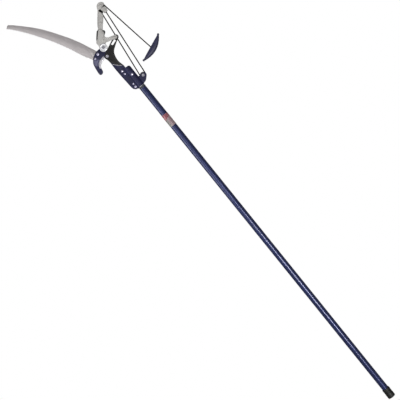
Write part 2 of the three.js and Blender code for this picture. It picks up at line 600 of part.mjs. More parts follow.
// ---- return spring round the lever pivot ----
function springCoil() {
  const radius = 10.2;
  const points = [];
  const count = 30;
  for (let i = 0; i <= count; i++) {
    const t = -0.6 + (i / count) * Math.PI * 2 * 1.6;
    points.push(new THREE.Vector3(leverPivot[0] + radius * Math.cos(t), leverPivot[1] + radius * Math.sin(t),
      3.2 + 2.3 * (i / count)));
  }
  return tubeAlong(points, 0.6, count, 6);
}
piece('return_spring', springCoil(), 'zinc');

// ---- assembly ----
const object = new THREE.Group();
object.name = 'pole_saw';
for (const { name, geometry, coat } of pieces) {
  const mesh = new THREE.Mesh(geometry, coats[coat].clone());
  mesh.name = name;
  object.add(mesh);
}

export default object;
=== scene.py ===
import math
import bmesh
import bpy
from mathutils import Matrix, Vector


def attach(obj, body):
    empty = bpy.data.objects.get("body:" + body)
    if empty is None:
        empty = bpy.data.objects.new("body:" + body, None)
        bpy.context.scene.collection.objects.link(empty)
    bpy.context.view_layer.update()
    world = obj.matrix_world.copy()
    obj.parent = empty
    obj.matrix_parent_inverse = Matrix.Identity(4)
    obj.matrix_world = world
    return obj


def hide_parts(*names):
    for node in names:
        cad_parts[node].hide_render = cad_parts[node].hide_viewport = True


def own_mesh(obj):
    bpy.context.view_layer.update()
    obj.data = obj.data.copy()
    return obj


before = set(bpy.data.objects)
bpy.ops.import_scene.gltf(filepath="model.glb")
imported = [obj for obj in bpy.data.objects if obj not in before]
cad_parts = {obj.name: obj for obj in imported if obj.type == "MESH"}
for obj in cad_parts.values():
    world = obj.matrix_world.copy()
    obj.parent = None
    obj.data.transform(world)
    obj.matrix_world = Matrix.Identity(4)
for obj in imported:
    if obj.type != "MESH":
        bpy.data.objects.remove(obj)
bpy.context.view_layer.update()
print("frame loaded:", len(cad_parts), "parts")

mm = 0.001  # every dictionary below is in millimetres, the scene is in metres
turn = 2 * math.pi


# Small helpers for 2D work, all in millimetres.

def flat(x, y):
    return Vector((x, y))


def inScene(item):
    bpy.context.scene.collection.objects.link(item)


def angled(centre, radius, angle):
    return flat(centre[0] + radius * math.cos(angle), centre[1] + radius * math.sin(angle))


def throughPoints(points, steps, closed=False):
    # A smooth line through the points; each stretch leans along its neighbours' chord.
    points = [Vector(p) for p in points]
    count = len(points)
    slopes = []
    for i, point in enumerate(points):
        before = points[i - 1] if closed or i > 0 else point
        after = points[(i + 1) % count] if closed or i < count - 1 else point
        slopes.append((after - before).normalized())
    made = []
    for i in range(count if closed else count - 1):
        a, b = points[i], points[(i + 1) % count]
        reach = (b - a).length
        for k in range(steps):
            t = k / steps
            made.append(hermite(a, b, slopes[i] * reach, slopes[(i + 1) % count] * reach, t))
    if not closed:
        made.append(points[-1].copy())
    return made


def hermite(a, b, slopeA, slopeB, t):
    cube, square = t ** 3, t ** 2
    return (a * (2 * cube - 3 * square + 1) + slopeA * (cube - 2 * square + t)
            + b * (3 * square - 2 * cube) + slopeB * (cube - square))


def softened(loop, corner=36, steps=3):
    # Rounds the facets of a closed outline and keeps the corners that are sharper than corner degrees.
    count = len(loop)
    hard = []
    for i in range(count):
        before = loop[i] - loop[i - 1]
        after = loop[(i + 1) % count] - loop[i]
        hard.append(math.degrees(abs(before.angle_signed(after))) > corner)
    made = []
    for i in range(count):
        j = (i + 1) % count
        a, b = loop[i], loop[j]
        chord = b - a
        slopeA = chord if hard[i] else (b - loop[i - 1]).normalized() * chord.length
        slopeB = chord if hard[j] else (loop[(j + 1) % count] - a).normalized() * chord.length
        if hard[i] and hard[j]:
            made.append(a)
            continue
        made += [hermite(a, b, slopeA, slopeB, k / steps) for k in range(steps)]
    return made


def nodeOutlines(node, level):
    # The closed outlines of a CAD part's flat face at the height level, outer one first.
    grid = bmesh.new()
    grid.from_mesh(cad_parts[node].data)
    bmesh.ops.remove_doubles(grid, verts=grid.verts, dist=0.02 * mm)
    faces = {f for f in grid.faces if all(abs(v.co.z - level * mm) < 0.05 * mm for v in f.verts)}
    follows = {}
    for face in faces:
        for corner in face.loops:
            if sum(other in faces for other in corner.edge.link_faces) == 1:
                follows[corner.vert.index] = corner.link_loop_next.vert.index
    grid.verts.ensure_lookup_table()
    loops = []
    while follows:
        start = min(follows)
        loop = []
        here = start
        while here in follows:
            loop.append(flat(*grid.verts[here].co.xy) / mm)
            here = follows.pop(here)
        loops.append(loop)
    grid.free()
    return sorted(loops, key=lambda loop: -max((p - loop[0]).length for p in loop))


def nearest(loop, x, y):
    return min(range(len(loop)), key=lambda i: (loop[i] - flat(x, y)).length)


def filleted(profile, radius, steps=3):
    # Rounds the corners of an open profile of (r, h) pairs.
    made = [Vector(profile[0])]
    for before, here, after in zip(profile, profile[1:], profile[2:]):
        here = Vector(here)
        back, on = Vector(before) - here, Vector(after) - here
        cut = min(radius, back.length * 0.45, on.length * 0.45)
        a, b = here + back.normalized() * cut, here + on.normalized() * cut
        for k in range(steps + 1):
            t = k / steps
            made.append(a * (1 - t) ** 2 + here * 2 * t * (1 - t) + b * t ** 2)
    made.append(Vector(profile[-1]))
    return made


# Meshes.

def meshFrom(vertices, faces, name="part"):
    # A closed mesh in metres from vertices in millimetres, with its faces turned outwards.
    mesh = bpy.data.meshes.new(name)
    mesh.from_pydata([Vector(v) * mm for v in vertices], [], faces)
    return outward(mesh)


def outward(mesh):
    shell = bmesh.new()
    shell.from_mesh(mesh)
    bmesh.ops.remove_doubles(shell, verts=shell.verts, dist=0.001 * mm)
    if shell.calc_volume(signed=True) < 0:
        bmesh.ops.reverse_faces(shell, faces=shell.faces)
    shell.to_mesh(mesh)
    shell.free()
    return mesh


def joined(*meshes):
    both = bmesh.new()
    for mesh in meshes:
        both.from_mesh(mesh)
    mesh = bpy.data.meshes.new("joined")
    both.to_mesh(mesh)
    both.free()
    return mesh


def lathe(profile, segments=48, axis="Z", at=(0, 0)):
    # profile holds (radius, height) pairs; it ends on the axis or closes on itself.
    onAxis = profile[0][0] == 0 and profile[-1][0] == 0
    vertices, rings, faces = [], [], []
    for radius, height in profile:
        ring = []
        for k in range(1 if radius == 0 else segments):
            angle = turn * k / segments
            u, v = radius * math.cos(angle), radius * math.sin(angle)
            ring.append(len(vertices))
            vertices.append((height, u, v) if axis == "X" else (at[0] + u, at[1] + v, height))
        rings.append(ring)
    pairs = list(zip(rings, rings[1:])) + ([] if onAxis else [(rings[-1], rings[0])])
    for low, high in pairs:
        for k in range(segments):
            n = (k + 1) % segments
            corners = [low[k % len(low)], low[n % len(low)], high[n % len(high)], high[k % len(high)]]
            unique = list(dict.fromkeys(corners))
            if len(unique) > 2:
                faces.append(unique)
    return meshFrom(vertices, faces)


def plate(outlines, low, high, rim, rimSteps=2):
    # A flat plate between two heights, with rounded rims and exact outlines.
    line = bpy.data.curves.new("plate", "CURVE")
    line.dimensions = "2D"
    line.fill_mode = "BOTH"
    line.bevel_depth = rim * mm
    line.bevel_resolution = rimSteps
    line.offset = -rim * mm
    line.extrude = ((high - low) / 2 - rim) * mm
    for outline in outlines:
        spline = line.splines.new("POLY")
        spline.points.add(len(outline) - 1)
        for point, place in zip(spline.points, outline):
            point.co = (place[0] * mm, place[1] * mm, 0, 1)
        spline.use_cyclic_u = True
    holder = bpy.data.objects.new("plate", line)
    inScene(holder)
    mesh = frozen(holder)
    bpy.data.curves.remove(line)
    mesh.transform(Matrix.Translation((0, 0, (low + high) / 2 * mm)))
    return outward(mesh)


def sweep(points, section, closedEnds=True):
    # Carries a section, a list of (side, up) pairs, along points; a function gives a changing section.
    points = [Vector(p) for p in points]
    up = Vector((0, 0, 1))
    vertices, faces = [], []
    rings = len(points)
    for i, point in enumerate(points):
        along = (points[min(i + 1, rings - 1)] - points[max(i - 1, 0)]).normalized()
        side = up.cross(along).normalized()
        lift = along.cross(side)
        shape = section(i / (rings - 1)) if callable(section) else section
        vertices += [point + side * a + lift * b for a, b in shape]
    around = len(shape)
    for i in range(rings - 1):
        for k in range(around):
            n = (k + 1) % around
            faces.append((i * around + k, i * around + n, (i + 1) * around + n, (i + 1) * around + k))
    if closedEnds:
        faces.append(tuple(range(around)))
        faces.append(tuple(range((rings - 1) * around, rings * around)))
    return meshFrom(vertices, faces)


def ringSection(radius, sides):
    return [(radius * math.cos(turn * k / sides), radius * math.sin(turn * k / sides)) for k in range(sides)]


def frozen(holder):
    # The finished mesh of an object with live modifiers or a curve; the holder goes.
    bpy.context.view_layer.update()
    graph = bpy.context.evaluated_depsgraph_get()
    mesh = bpy.data.meshes.new_from_object(holder.evaluated_get(graph))
    bpy.data.objects.remove(holder)
    return mesh


def held(mesh, name="holder"):
    holder = bpy.data.objects.new(name, mesh)
    inScene(holder)
    return holder


def welded(mesh, voxel, passes):
    # Runs several closed shapes into one skin with soft inside corners, like a casting or a pressing.
    holder = held(mesh)
    remesh = holder.modifiers.new("skin", "REMESH")
    remesh.mode = "VOXEL"
    remesh.voxel_size = voxel * mm
    relax = holder.modifiers.new("relax", "SMOOTH")
    relax.factor = 0.5
    relax.iterations = passes
    return frozen(holder)


def merged(node):
    # A copy of a CAD part with its loose triangles joined.
    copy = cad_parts[node].data.copy()
    return outward(copy)


def addPiece(name, mesh, look, body, standsFor=(), sharp=30):
    mesh.name = name
    mesh.materials.clear()
    mesh.materials.append(look)
    mesh.shade_smooth()
    mesh.set_sharp_from_angle(angle=math.radians(sharp))
    piece = held(mesh, name)
    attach(piece, body)
    if standsFor:
        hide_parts(*standsFor)
    return piece


# Node helpers.

def add(tree, kind, links=None, **settings):
    made = tree.nodes.new(kind)
    for key, value in settings.items():
        setattr(made, key, value)
    for key, value in (links or {}).items():
        if isinstance(value, bpy.types.NodeSocket):
            tree.links.new(value, made.inputs[key])
        else:
            made.inputs[key].default_value = value
    return made


def maths(tree, operation, a, b=0.0, c=0.0, clamp=False):
    made = add(tree, "ShaderNodeMath", {0: a, 1: b, 2: c}, operation=operation, use_clamp=clamp)
    return made.outputs[0]


def times(tree, a, b, clamp=False):
    return maths(tree, "MULTIPLY", a, b, clamp=clamp)


def ramp(tree, value, low, high):
    # 0 below low, 1 above high, smooth between.
    made = add(tree, "ShaderNodeMapRange", {"Value": value, "From Min": low, "From Max": high},
               interpolation_type="SMOOTHSTEP")
    return made.outputs["Result"]


def blendColour(tree, mask, a, b):
    return add(tree, "ShaderNodeMix", {0: mask, 6: a, 7: b}, data_type="RGBA").outputs[2]


def srgb(red, green, blue):
    def linear(level):
        level /= 255
        return level / 12.92 if level <= 0.04045 else ((level + 0.055) / 1.055) ** 2.4
    return (linear(red), linear(green), linear(blue), 1.0)


def noise(tree, vector, scale, detail=3.0, rough=0.55):
    made = add(tree, "ShaderNodeTexNoise", {"Vector": vector, "Scale": scale, "Detail": detail,
                                            "Roughness": rough})
    return made.outputs[0]


def newGroup(name, inputs, outputs, kind="ShaderNodeTree"):
    tree = bpy.data.node_groups.new(name, kind)
    for label, (socket, value) in inputs.items():
        made = tree.interface.new_socket(label, in_out="INPUT", socket_type="NodeSocket" + socket)
        if value is not None:
            made.default_value = value
    for label, socket in outputs.items():
        tree.interface.new_socket(label, in_out="OUTPUT", socket_type="NodeSocket" + socket)
    given, out = tree.nodes.new("NodeGroupInput"), tree.nodes.new("NodeGroupOutput")
    return tree, given.outputs, out.inputs


# Shader groups that several finishes share.

def objectPlace(tree):
    return add(tree, "ShaderNodeTexCoord").outputs["Object"]


def edgeWearGroup():
    # 1 along worn edges, broken up by noise.
    tree, given, out = newGroup("edgeWear", {
        "Width": ("Float", 0.0012), "Amount": ("Float", 0.5),
        "Scale": ("Float", 220.0)}, {"Mask": "Float"})
    place = objectPlace(tree)
    rounded = add(tree, "ShaderNodeBevel", {"Radius": given["Width"]}, samples=4)
    true = add(tree, "ShaderNodeNewGeometry").outputs["Normal"]
    dot = add(tree, "ShaderNodeVectorMath", {0: rounded.outputs[0], 1: true}, operation="DOT_PRODUCT")
    edge = ramp(tree, dot.outputs["Value"], 0.96, 0.78)
    chips = noise(tree, place, given["Scale"], 4, 0.65)
    broken = ramp(tree, maths(tree, "ADD", chips, times(tree, edge, 0.35)), 0.62, 0.78)
    mask = times(tree, times(tree, edge, broken), given["Amount"],
                 clamp=True)
    tree.links.new(mask, out["Mask"])
    return tree


def dustGroup():
    # Loose dust and smudges in big soft patches.
    tree, given, out = newGroup("dustFilm", {
        "Scale": ("Float", 14.0), "Amount": ("Float", 0.2)},
        {"Mask": "Float"})
    place = objectPlace(tree)
    wide = ramp(tree, noise(tree, place, given["Scale"], 5, 0.6), 0.42, 0.72)
    fine = ramp(tree, noise(tree, place, times(tree, given["Scale"], 40.0), 2, 0.5), 0.4,
                0.7)
    mask = times(tree, times(tree, wide, fine), given["Amount"], clamp=True)
    tree.links.new(mask, out["Mask"])
    return tree


def brushedGroup():
    # Fine lines along one direction of the XY plane, from a polishing belt.
    tree, given, out = newGroup("brushedLines", {
        "Angle": ("Float", 0.0), "Along": ("Float", 18.0),
        "Across": ("Float", 1500.0)}, {"Value": "Float"})
    place = objectPlace(tree)
    spun = add(tree, "ShaderNodeVectorRotate", {"Vector": place, "Angle": given["Angle"]},
               rotation_type="Z_AXIS").outputs[0]
    size = add(tree, "ShaderNodeCombineXYZ",
               {0: given["Along"], 1: given["Across"], 2: 60.0})
    drawn = add(tree, "ShaderNodeVectorMath", {0: spun, 1: size.outputs[0]}, operation="MULTIPLY")
    lines = noise(tree, drawn.outputs[0], 1.0, 3, 0.6)
    tree.links.new(lines, out["Value"])
    return tree


def grainGroup():
    # The small texture of cast, powder coated or moulded surfaces.
    tree, given, out = newGroup("grainField", {
        "Scale": ("Float", 900.0), "Pits": ("Float", 0.3)},
        {"Height": "Float", "Tint": "Float"})
    place = objectPlace(tree)
    fine = noise(tree, place, given["Scale"], 3, 0.6)
    cells = add(tree, "ShaderNodeTexVoronoi", {"Vector": place, "Scale": maths(
        tree, "MULTIPLY", given["Scale"], 0.6)}, feature="SMOOTH_F1")
    pits = times(tree, cells.outputs["Distance"], given["Pits"])
    tree.links.new(maths(tree, "ADD", fine, pits), out["Height"])
    tree.links.new(noise(tree, place, 35.0, 4, 0.6), out["Tint"])
    return tree


edgeWear, dustFilm = edgeWearGroup(), dustGroup()
brushedLines, grainField = brushedGroup(), grainGroup()


def placed(tree, group, **values):
    made = tree.nodes.new("ShaderNodeGroup")
    made.node_tree = group
    for key, value in values.items():
        socket = made.inputs[key.capitalize()]
        if isinstance(value, bpy.types.NodeSocket):
            tree.links.new(value, socket)
        else:
            socket.default_value = value
    return made


def newLook(name, **constants):
    # A material with the shader's own sockets set; the caller adds what changes over the surface.
    look = bpy.data.materials.new(name)
    look.use_nodes = True
    shader = look.node_tree.nodes["Principled BSDF"]
    for key, value in constants.items():
        shader.inputs[key.replace("_", " ")].default_value = value
    return look, look.node_tree, shader


def bumped(tree, shader, height, strength, distance):
    bump = add(tree, "ShaderNodeBump", {"Height": height, "Strength": strength, "Distance": distance})
    tree.links.new(bump.outputs[0], shader.inputs["Normal"])


def paintedHighlightPatch(tree, paintedHighlight):
    # A painted highlight: a soft lighter patch about one place, broken up by noise.
    place = objectPlace(tree)
    away = add(tree, "ShaderNodeVectorMath", {0: place, 1: Vector(paintedHighlight["at"]) * mm}, operation="DISTANCE")
    near = ramp(tree, away.outputs["Value"], paintedHighlight["reach"] * mm, paintedHighlight["reach"] * 0.3 * mm)
    ragged = ramp(tree, noise(tree, place, paintedHighlight["scale"], 4, 0.6), 0.25, 0.6)
    return times(tree, times(tree, near, ragged), paintedHighlight["amount"], clamp=True)


def coated(name, values, **constants):
    # Paint, plastic or bare metal: two tones, grain, edge wear, dust, lines where brushed, and a painted
    # highlight patch where one is given.
    look, tree, shader = newLook(name, **constants)
    grain = placed(tree, grainField, scale=values["grainScale"], pits=values.get("pits", 0.3))
    tone = blendColour(tree, ramp(tree, grain.outputs["Tint"], 0.35, 0.65),
                       srgb(*values["tone"]), srgb(*values["toneTwo"]))
    rough = add(tree, "ShaderNodeMapRange",
                {"Value": grain.outputs["Height"], "From Min": 0.3, "From Max": 0.8,
                                             "To Min": values["rough"][0],
                                             "To Max": values["rough"][1]}).outputs[0]
    height = grain.outputs["Height"]
    if "brushAngle" in values:
        lines = placed(tree, brushedLines, angle=values["brushAngle"]).outputs[0]
        tone = blendColour(tree, ramp(tree, lines, 0.35, 0.7), tone, srgb(*values["brushTone"]))
        rough = maths(tree, "ADD", rough, maths(tree, "MULTIPLY_ADD", lines, 0.3, -0.15))
        height = maths(tree, "ADD", height, times(tree, lines, 1.5))
    if values.get("wear"):
        worn = placed(tree, edgeWear, width=values.get("wearWidth", 1.0) * mm,
                      amount=values["wear"]).outputs[0]
        tone = blendColour(tree, worn, tone, srgb(*values["wearTone"]))
    # Where given, a painted highlight patch lightens the tone about one place.
    if "paintedHighlight" in values:
        tone = blendColour(tree, paintedHighlightPatch(tree, values["paintedHighlight"]), tone, srgb(*values["paintedHighlight"]["tone"]))
    dust = placed(tree, dustFilm, amount=values.get("dust", 0.15),
                  scale=values.get("dustScale", 14.0)).outputs[0]
    tone = blendColour(tree, dust, tone, srgb(*values.get("dustTone", (150, 148, 142))))
    rough = maths(tree, "MULTIPLY_ADD", dust, 0.3, rough)
    tree.links.new(tone, shader.inputs["Base Color"])
    tree.links.new(rough, shader.inputs["Roughness"])
    bumped(tree, shader, height, values.get("bump", 0.2), values.get("bumpDepth", 0.03) * mm)
    return look


# Finishes.

poleEnamel = coated("poleEnamel", {
    "tone": (20, 33, 86), "toneTwo": (26, 40, 96), "grainScale": 500.0, "rough": (0.32, 0.42),
    "wear": 0.3, "wearTone": (110, 112, 130), "dust": 0.06, "bump": 0.1, "dustTone": (80, 86, 120)},
    Metallic=0.35, Specular_IOR_Level=0.25, Coat_Weight=0.6, Coat_Roughness=0.2)
headValues = {
    "tone": (20, 22, 62), "toneTwo": (29, 31, 76), "grainScale": 420.0, "pits": 0.8, "rough": (0.34, 0.5),
    "wear": 0.45, "wearTone": (120, 122, 150), "dust": 0.15, "dustScale": 30.0, "bump": 0.35,
    "bumpDepth": 0.06, "dustTone": (96, 100, 128)}
headShine = {"Metallic": 0.15, "Specular_IOR_Level": 0.3, "Coat_Weight": 0.15, "Coat_Roughness": 0.3}
headPaint = coated("headPaint", headValues, **headShine)
# The hook's paint with a painted highlight: a pale blue-grey patch near the bend.
hookPaintAndHighlight = coated("hookPaintAndHighlight", headValues | {"paintedHighlight": {
    "at": (1693, 79, 2), "reach": 19, "scale": 60.0, "amount": 0.95, "tone": (128, 128, 158)}}, **headShine)
# Pale blue on the fold bead: a painted highlight along the bend between ear and barrel.
foldPaintedHighlight = coated("foldPaintedHighlight", {
    "tone": (116, 120, 168), "toneTwo": (88, 92, 140), "grainScale": 420.0, "rough": (0.3, 0.45),
    "dust": 0.15, "dustScale": 90.0, "dustTone": (60, 62, 100), "bump": 0.3}, **headShine)
blackBlade = coated("blackBlade", {
    "tone": (15, 14, 14), "toneTwo": (24, 22, 22), "grainScale": 700.0, "rough": (0.36, 0.52),
    "wear": 0.4, "wearTone": (110, 108, 106), "dust": 0.1, "bump": 0.25,
    "dustTone": (80, 77, 75)}, Metallic=0.1, Specular_IOR_Level=0.35, Coat_Weight=0.1, Coat_Roughness=0.35)
castSilver = coated("castSilver", {
    "tone": (190, 188, 185), "toneTwo": (202, 200, 197), "grainScale": 650.0, "pits": 0.9,
    "rough": (0.4, 0.6),
    "wear": 0.6, "wearTone": (232, 232, 235), "wearWidth": 0.8, "dust": 0.2, "dustScale": 40.0,
    "dustTone": (172, 168, 162), "bump": 0.4, "bumpDepth": 0.05}, Metallic=0.35)
bossSilver = coated("bossSilver", {
    "tone": (238, 238, 242), "toneTwo": (244, 244, 248), "grainScale": 800.0, "rough": (0.25, 0.4),
    "wear": 0.5, "wearTone": (245, 245, 250), "dust": 0.12, "bump": 0.2}, Metallic=0.45)
sawSteel = coated("sawSteel", {
    "tone": (180, 175, 176), "toneTwo": (190, 184, 185), "grainScale": 900.0, "rough": (0.36, 0.5),
    "brushAngle": math.radians(-33), "brushTone": (200, 194, 195), "dust": 0.15, "dustScale": 10.0,
    "dustTone": (196, 186, 184), "bump": 0.2, "bumpDepth": 0.02}, Metallic=0.4)
groundSteel = coated("groundSteel", {
    "tone": (186, 184, 190), "toneTwo": (206, 204, 210), "grainScale": 900.0, "rough": (0.25, 0.4),
    "brushAngle": math.radians(50), "brushTone": (222, 220, 226), "dust": 0.1, "bump": 0.25,
    "bumpDepth": 0.02}, Metallic=0.5)
zincPlate = coated("zincPlate", {
    "tone": (198, 195, 220), "toneTwo": (212, 208, 230), "grainScale": 1200.0, "rough": (0.2, 0.34),
    "wear": 0.4, "wearTone": (245, 245, 250), "wearWidth": 0.4, "dust": 0.1, "bump": 0.15,
    "bumpDepth": 0.02}, Metallic=0.5)
tubeAlloy = coated("tubeAlloy", {
    "tone": (176, 178, 184), "toneTwo": (190, 192, 198), "grainScale": 900.0, "rough": (0.28, 0.4),
    "brushAngle": 0.0, "brushTone": (205, 207, 212), "dust": 0.15, "bump": 0.2, "bumpDepth": 0.02},
    Metallic=0.75)
boltSteel = coated("boltSteel", {
    "tone": (160, 159, 168), "toneTwo": (176, 174, 183), "grainScale": 1100.0, "rough": (0.3, 0.45),
    "wear": 0.4, "wearTone": (215, 214, 222), "wearWidth": 0.5, "dust": 0.2, "bump": 0.2,
    "bumpDepth": 0.02, "dustTone": (120, 118, 116)}, Metallic=0.4)
capRubber = coated("capRubber", {
    "tone": (8, 8, 7), "toneTwo": (19, 19, 16), "grainScale": 380.0, "pits": 0.9, "rough": (0.36, 0.52),
    "dust": 0.25, "dustScale": 50.0, "dustTone": (60, 60, 50), "bump": 0.4, "bumpDepth": 0.1}, Metallic=0.0,
    Specular_IOR_Level=0.4)
blackNylon = coated("blackNylon", {
    "tone": (18, 18, 18), "toneTwo": (28, 28, 28), "grainScale": 800.0, "rough": (0.4, 0.6),
    "wear": 0.3, "wearTone": (80, 80, 80), "dust": 0.15, "bump": 0.25, "dustTone": (80, 80, 78)},
    Metallic=0.0)
collarPlastic = coated("collarPlastic", {
    "tone": (62, 66, 76), "toneTwo": (78, 82, 92), "grainScale": 700.0, "rough": (0.45, 0.6),
    "wear": 0.4, "wearTone": (120, 124, 132), "dust": 0.2, "bump": 0.3}, Metallic=0.0)
handlePlastic = coated("handlePlastic", {
    "tone": (50, 50, 82), "toneTwo": (60, 60, 94), "grainScale": 520.0, "pits": 0.6, "rough": (0.36, 0.5),
    "wear": 0.35, "wearTone": (110, 110, 140), "dust": 0.15, "bump": 0.3, "bumpDepth": 0.04,
    "dustTone": (110, 110, 130)}, Metallic=0.0, Specular_IOR_Level=0.3, Coat_Weight=0.08, Coat_Roughness=0.4)


def ropeLook():
    # Black cover with grey-green tracer plies, fuzzy fibres and a little dirt.
    look, tree, shader = newLook("ropeCover", Metallic=0.0, Specular_IOR_Level=0.15, Sheen_Weight=0.03)
    ply = add(tree, "ShaderNodeAttribute", attribute_name="ply").outputs["Fac"]
    tracer = ramp(tree, ply, 0.9, 0.92)
    place = objectPlace(tree)
    fibre = noise(tree, place, 2600.0, 2, 0.6)
    tone = blendColour(tree, tracer, srgb(6, 6, 5), srgb(44, 46, 41))
    tone = blendColour(tree, ramp(tree, fibre, 0.55, 0.9), tone, srgb(26, 27, 24))
    dust = placed(tree, dustFilm, amount=0.08, scale=25.0).outputs[0]
    tree.links.new(blendColour(tree, dust, tone, srgb(80, 78, 72)), shader.inputs["Base Color"])
    tree.links.new(maths(tree, "MULTIPLY_ADD", fibre, 0.2, 0.7), shader.inputs["Roughness"])
    bumped(tree, shader, fibre, 0.5, 0.08 * mm)
    return look


def labelLook():
    # Printed film: a red panel, fine broken lines and a plain border. No words.
    look, tree, shader = newLook("labelPrint", Metallic=0.0, Coat_Weight=0.4, Coat_Roughness=0.3)
    uv = add(tree, "ShaderNodeUVMap", uv_map="print").outputs[0]
    split = add(tree, "ShaderNodeSeparateXYZ", {0: uv})
    along, around = split.outputs[0], split.outputs[1]
    smudge = noise(tree, uv, 7.0, 3, 0.6)
    red = blendColour(tree, ramp(tree, smudge, 0.48, 0.64), srgb(150, 48, 72), srgb(205, 150, 155))
    paper = blendColour(tree, ramp(tree, around, 0.52, 0.72), srgb(196, 170, 176), srgb(138, 142, 136))
    rows = maths(tree, "FRACT", times(tree, around, 15.0))
    dashes = noise(tree, add(tree, "ShaderNodeVectorMath", {0: uv, 1: (26.0, 15.0, 0.0)},
                             operation="MULTIPLY").outputs[0], 1.0, 1, 0.5)
    inked = times(tree, ramp(tree, rows, 0.45, 0.6), ramp(tree, dashes, 0.47, 0.53))
    margin = times(tree, ramp(tree, along, 0.06, 0.08), ramp(tree, around, 0.95, 0.9))
    paper = blendColour(tree, times(tree, inked, margin), paper, srgb(112, 62, 74))
    edge = maths(tree, "MULTIPLY_ADD", maths(tree, "SUBTRACT", around, 0.5), -0.25, 0.66)
    panel = ramp(tree, maths(tree, "SUBTRACT", along, edge), -0.01, 0.01)
    tone = blendColour(tree, panel, paper, red)
    dust = placed(tree, dustFilm, amount=0.15, scale=40.0).outputs[0]
    tree.links.new(blendColour(tree, dust, tone, srgb(150, 148, 142)), shader.inputs["Base Color"])
    tree.links.new(maths(tree, "MULTIPLY_ADD", smudge, 0.2, 0.35), shader.inputs["Roughness"])
    bumped(tree, shader, smudge, 0.1, 0.05 * mm)
    return look


ropeCover, labelPrint = ropeLook(), labelLook()
print("finishes ready:", len(bpy.data.materials))


# Geometry node trees.

def runTree(tree, source, **inputs):
    # Runs a tree on a mesh or curve with inputs set by their identifiers, and gives the plain mesh.
    holder = held(source)
    modifier = holder.modifiers.new(tree.name, "NODES")
    modifier.node_group = tree
    known = {item.name: item.identifier for item in tree.interface.items_tree if item.in_out == "INPUT"}
    for label, value in inputs.items():
        modifier[known[label]] = value
    return frozen(holder)


def finishTree(tree, given, out, geometry):
    # Makes copies real and gives them their material.
    real = add(tree, "GeometryNodeRealizeInstances", {0: geometry.outputs[0]})
    done = add(tree, "GeometryNodeSetMaterial", {
        "Geometry": real.outputs[0], "Material": given["Finish"]})
    tree.links.new(done.outputs[0], out[0])
    return tree


def copiesTree():
    # One copy of a part on every point, turned and sized by the points' own attributes.
    tree, given, out = newGroup("copiesOnPoints", {
        "Points": ("Geometry", None), "Part": ("Object", None),
        "Finish": ("Material", None)}, {"Geometry": "Geometry"}, "GeometryNodeTree")
    part = add(tree, "GeometryNodeObjectInfo", {"Object": given["Part"]})
    turned = add(tree, "GeometryNodeInputNamedAttribute", {"Name": "turned"}, data_type="FLOAT_VECTOR")
    sized = add(tree, "GeometryNodeInputNamedAttribute", {"Name": "sized"}, data_type="FLOAT_VECTOR")
    spin = add(tree, "FunctionNodeEulerToRotation", {0: turned.outputs[0]})
    copies = add(tree, "GeometryNodeInstanceOnPoints", {
        "Points": given["Points"], "Instance": part.outputs["Geometry"],
        "Rotation": spin.outputs[0], "Scale": sized.outputs[0]})
    return finishTree(tree, given, out, copies)


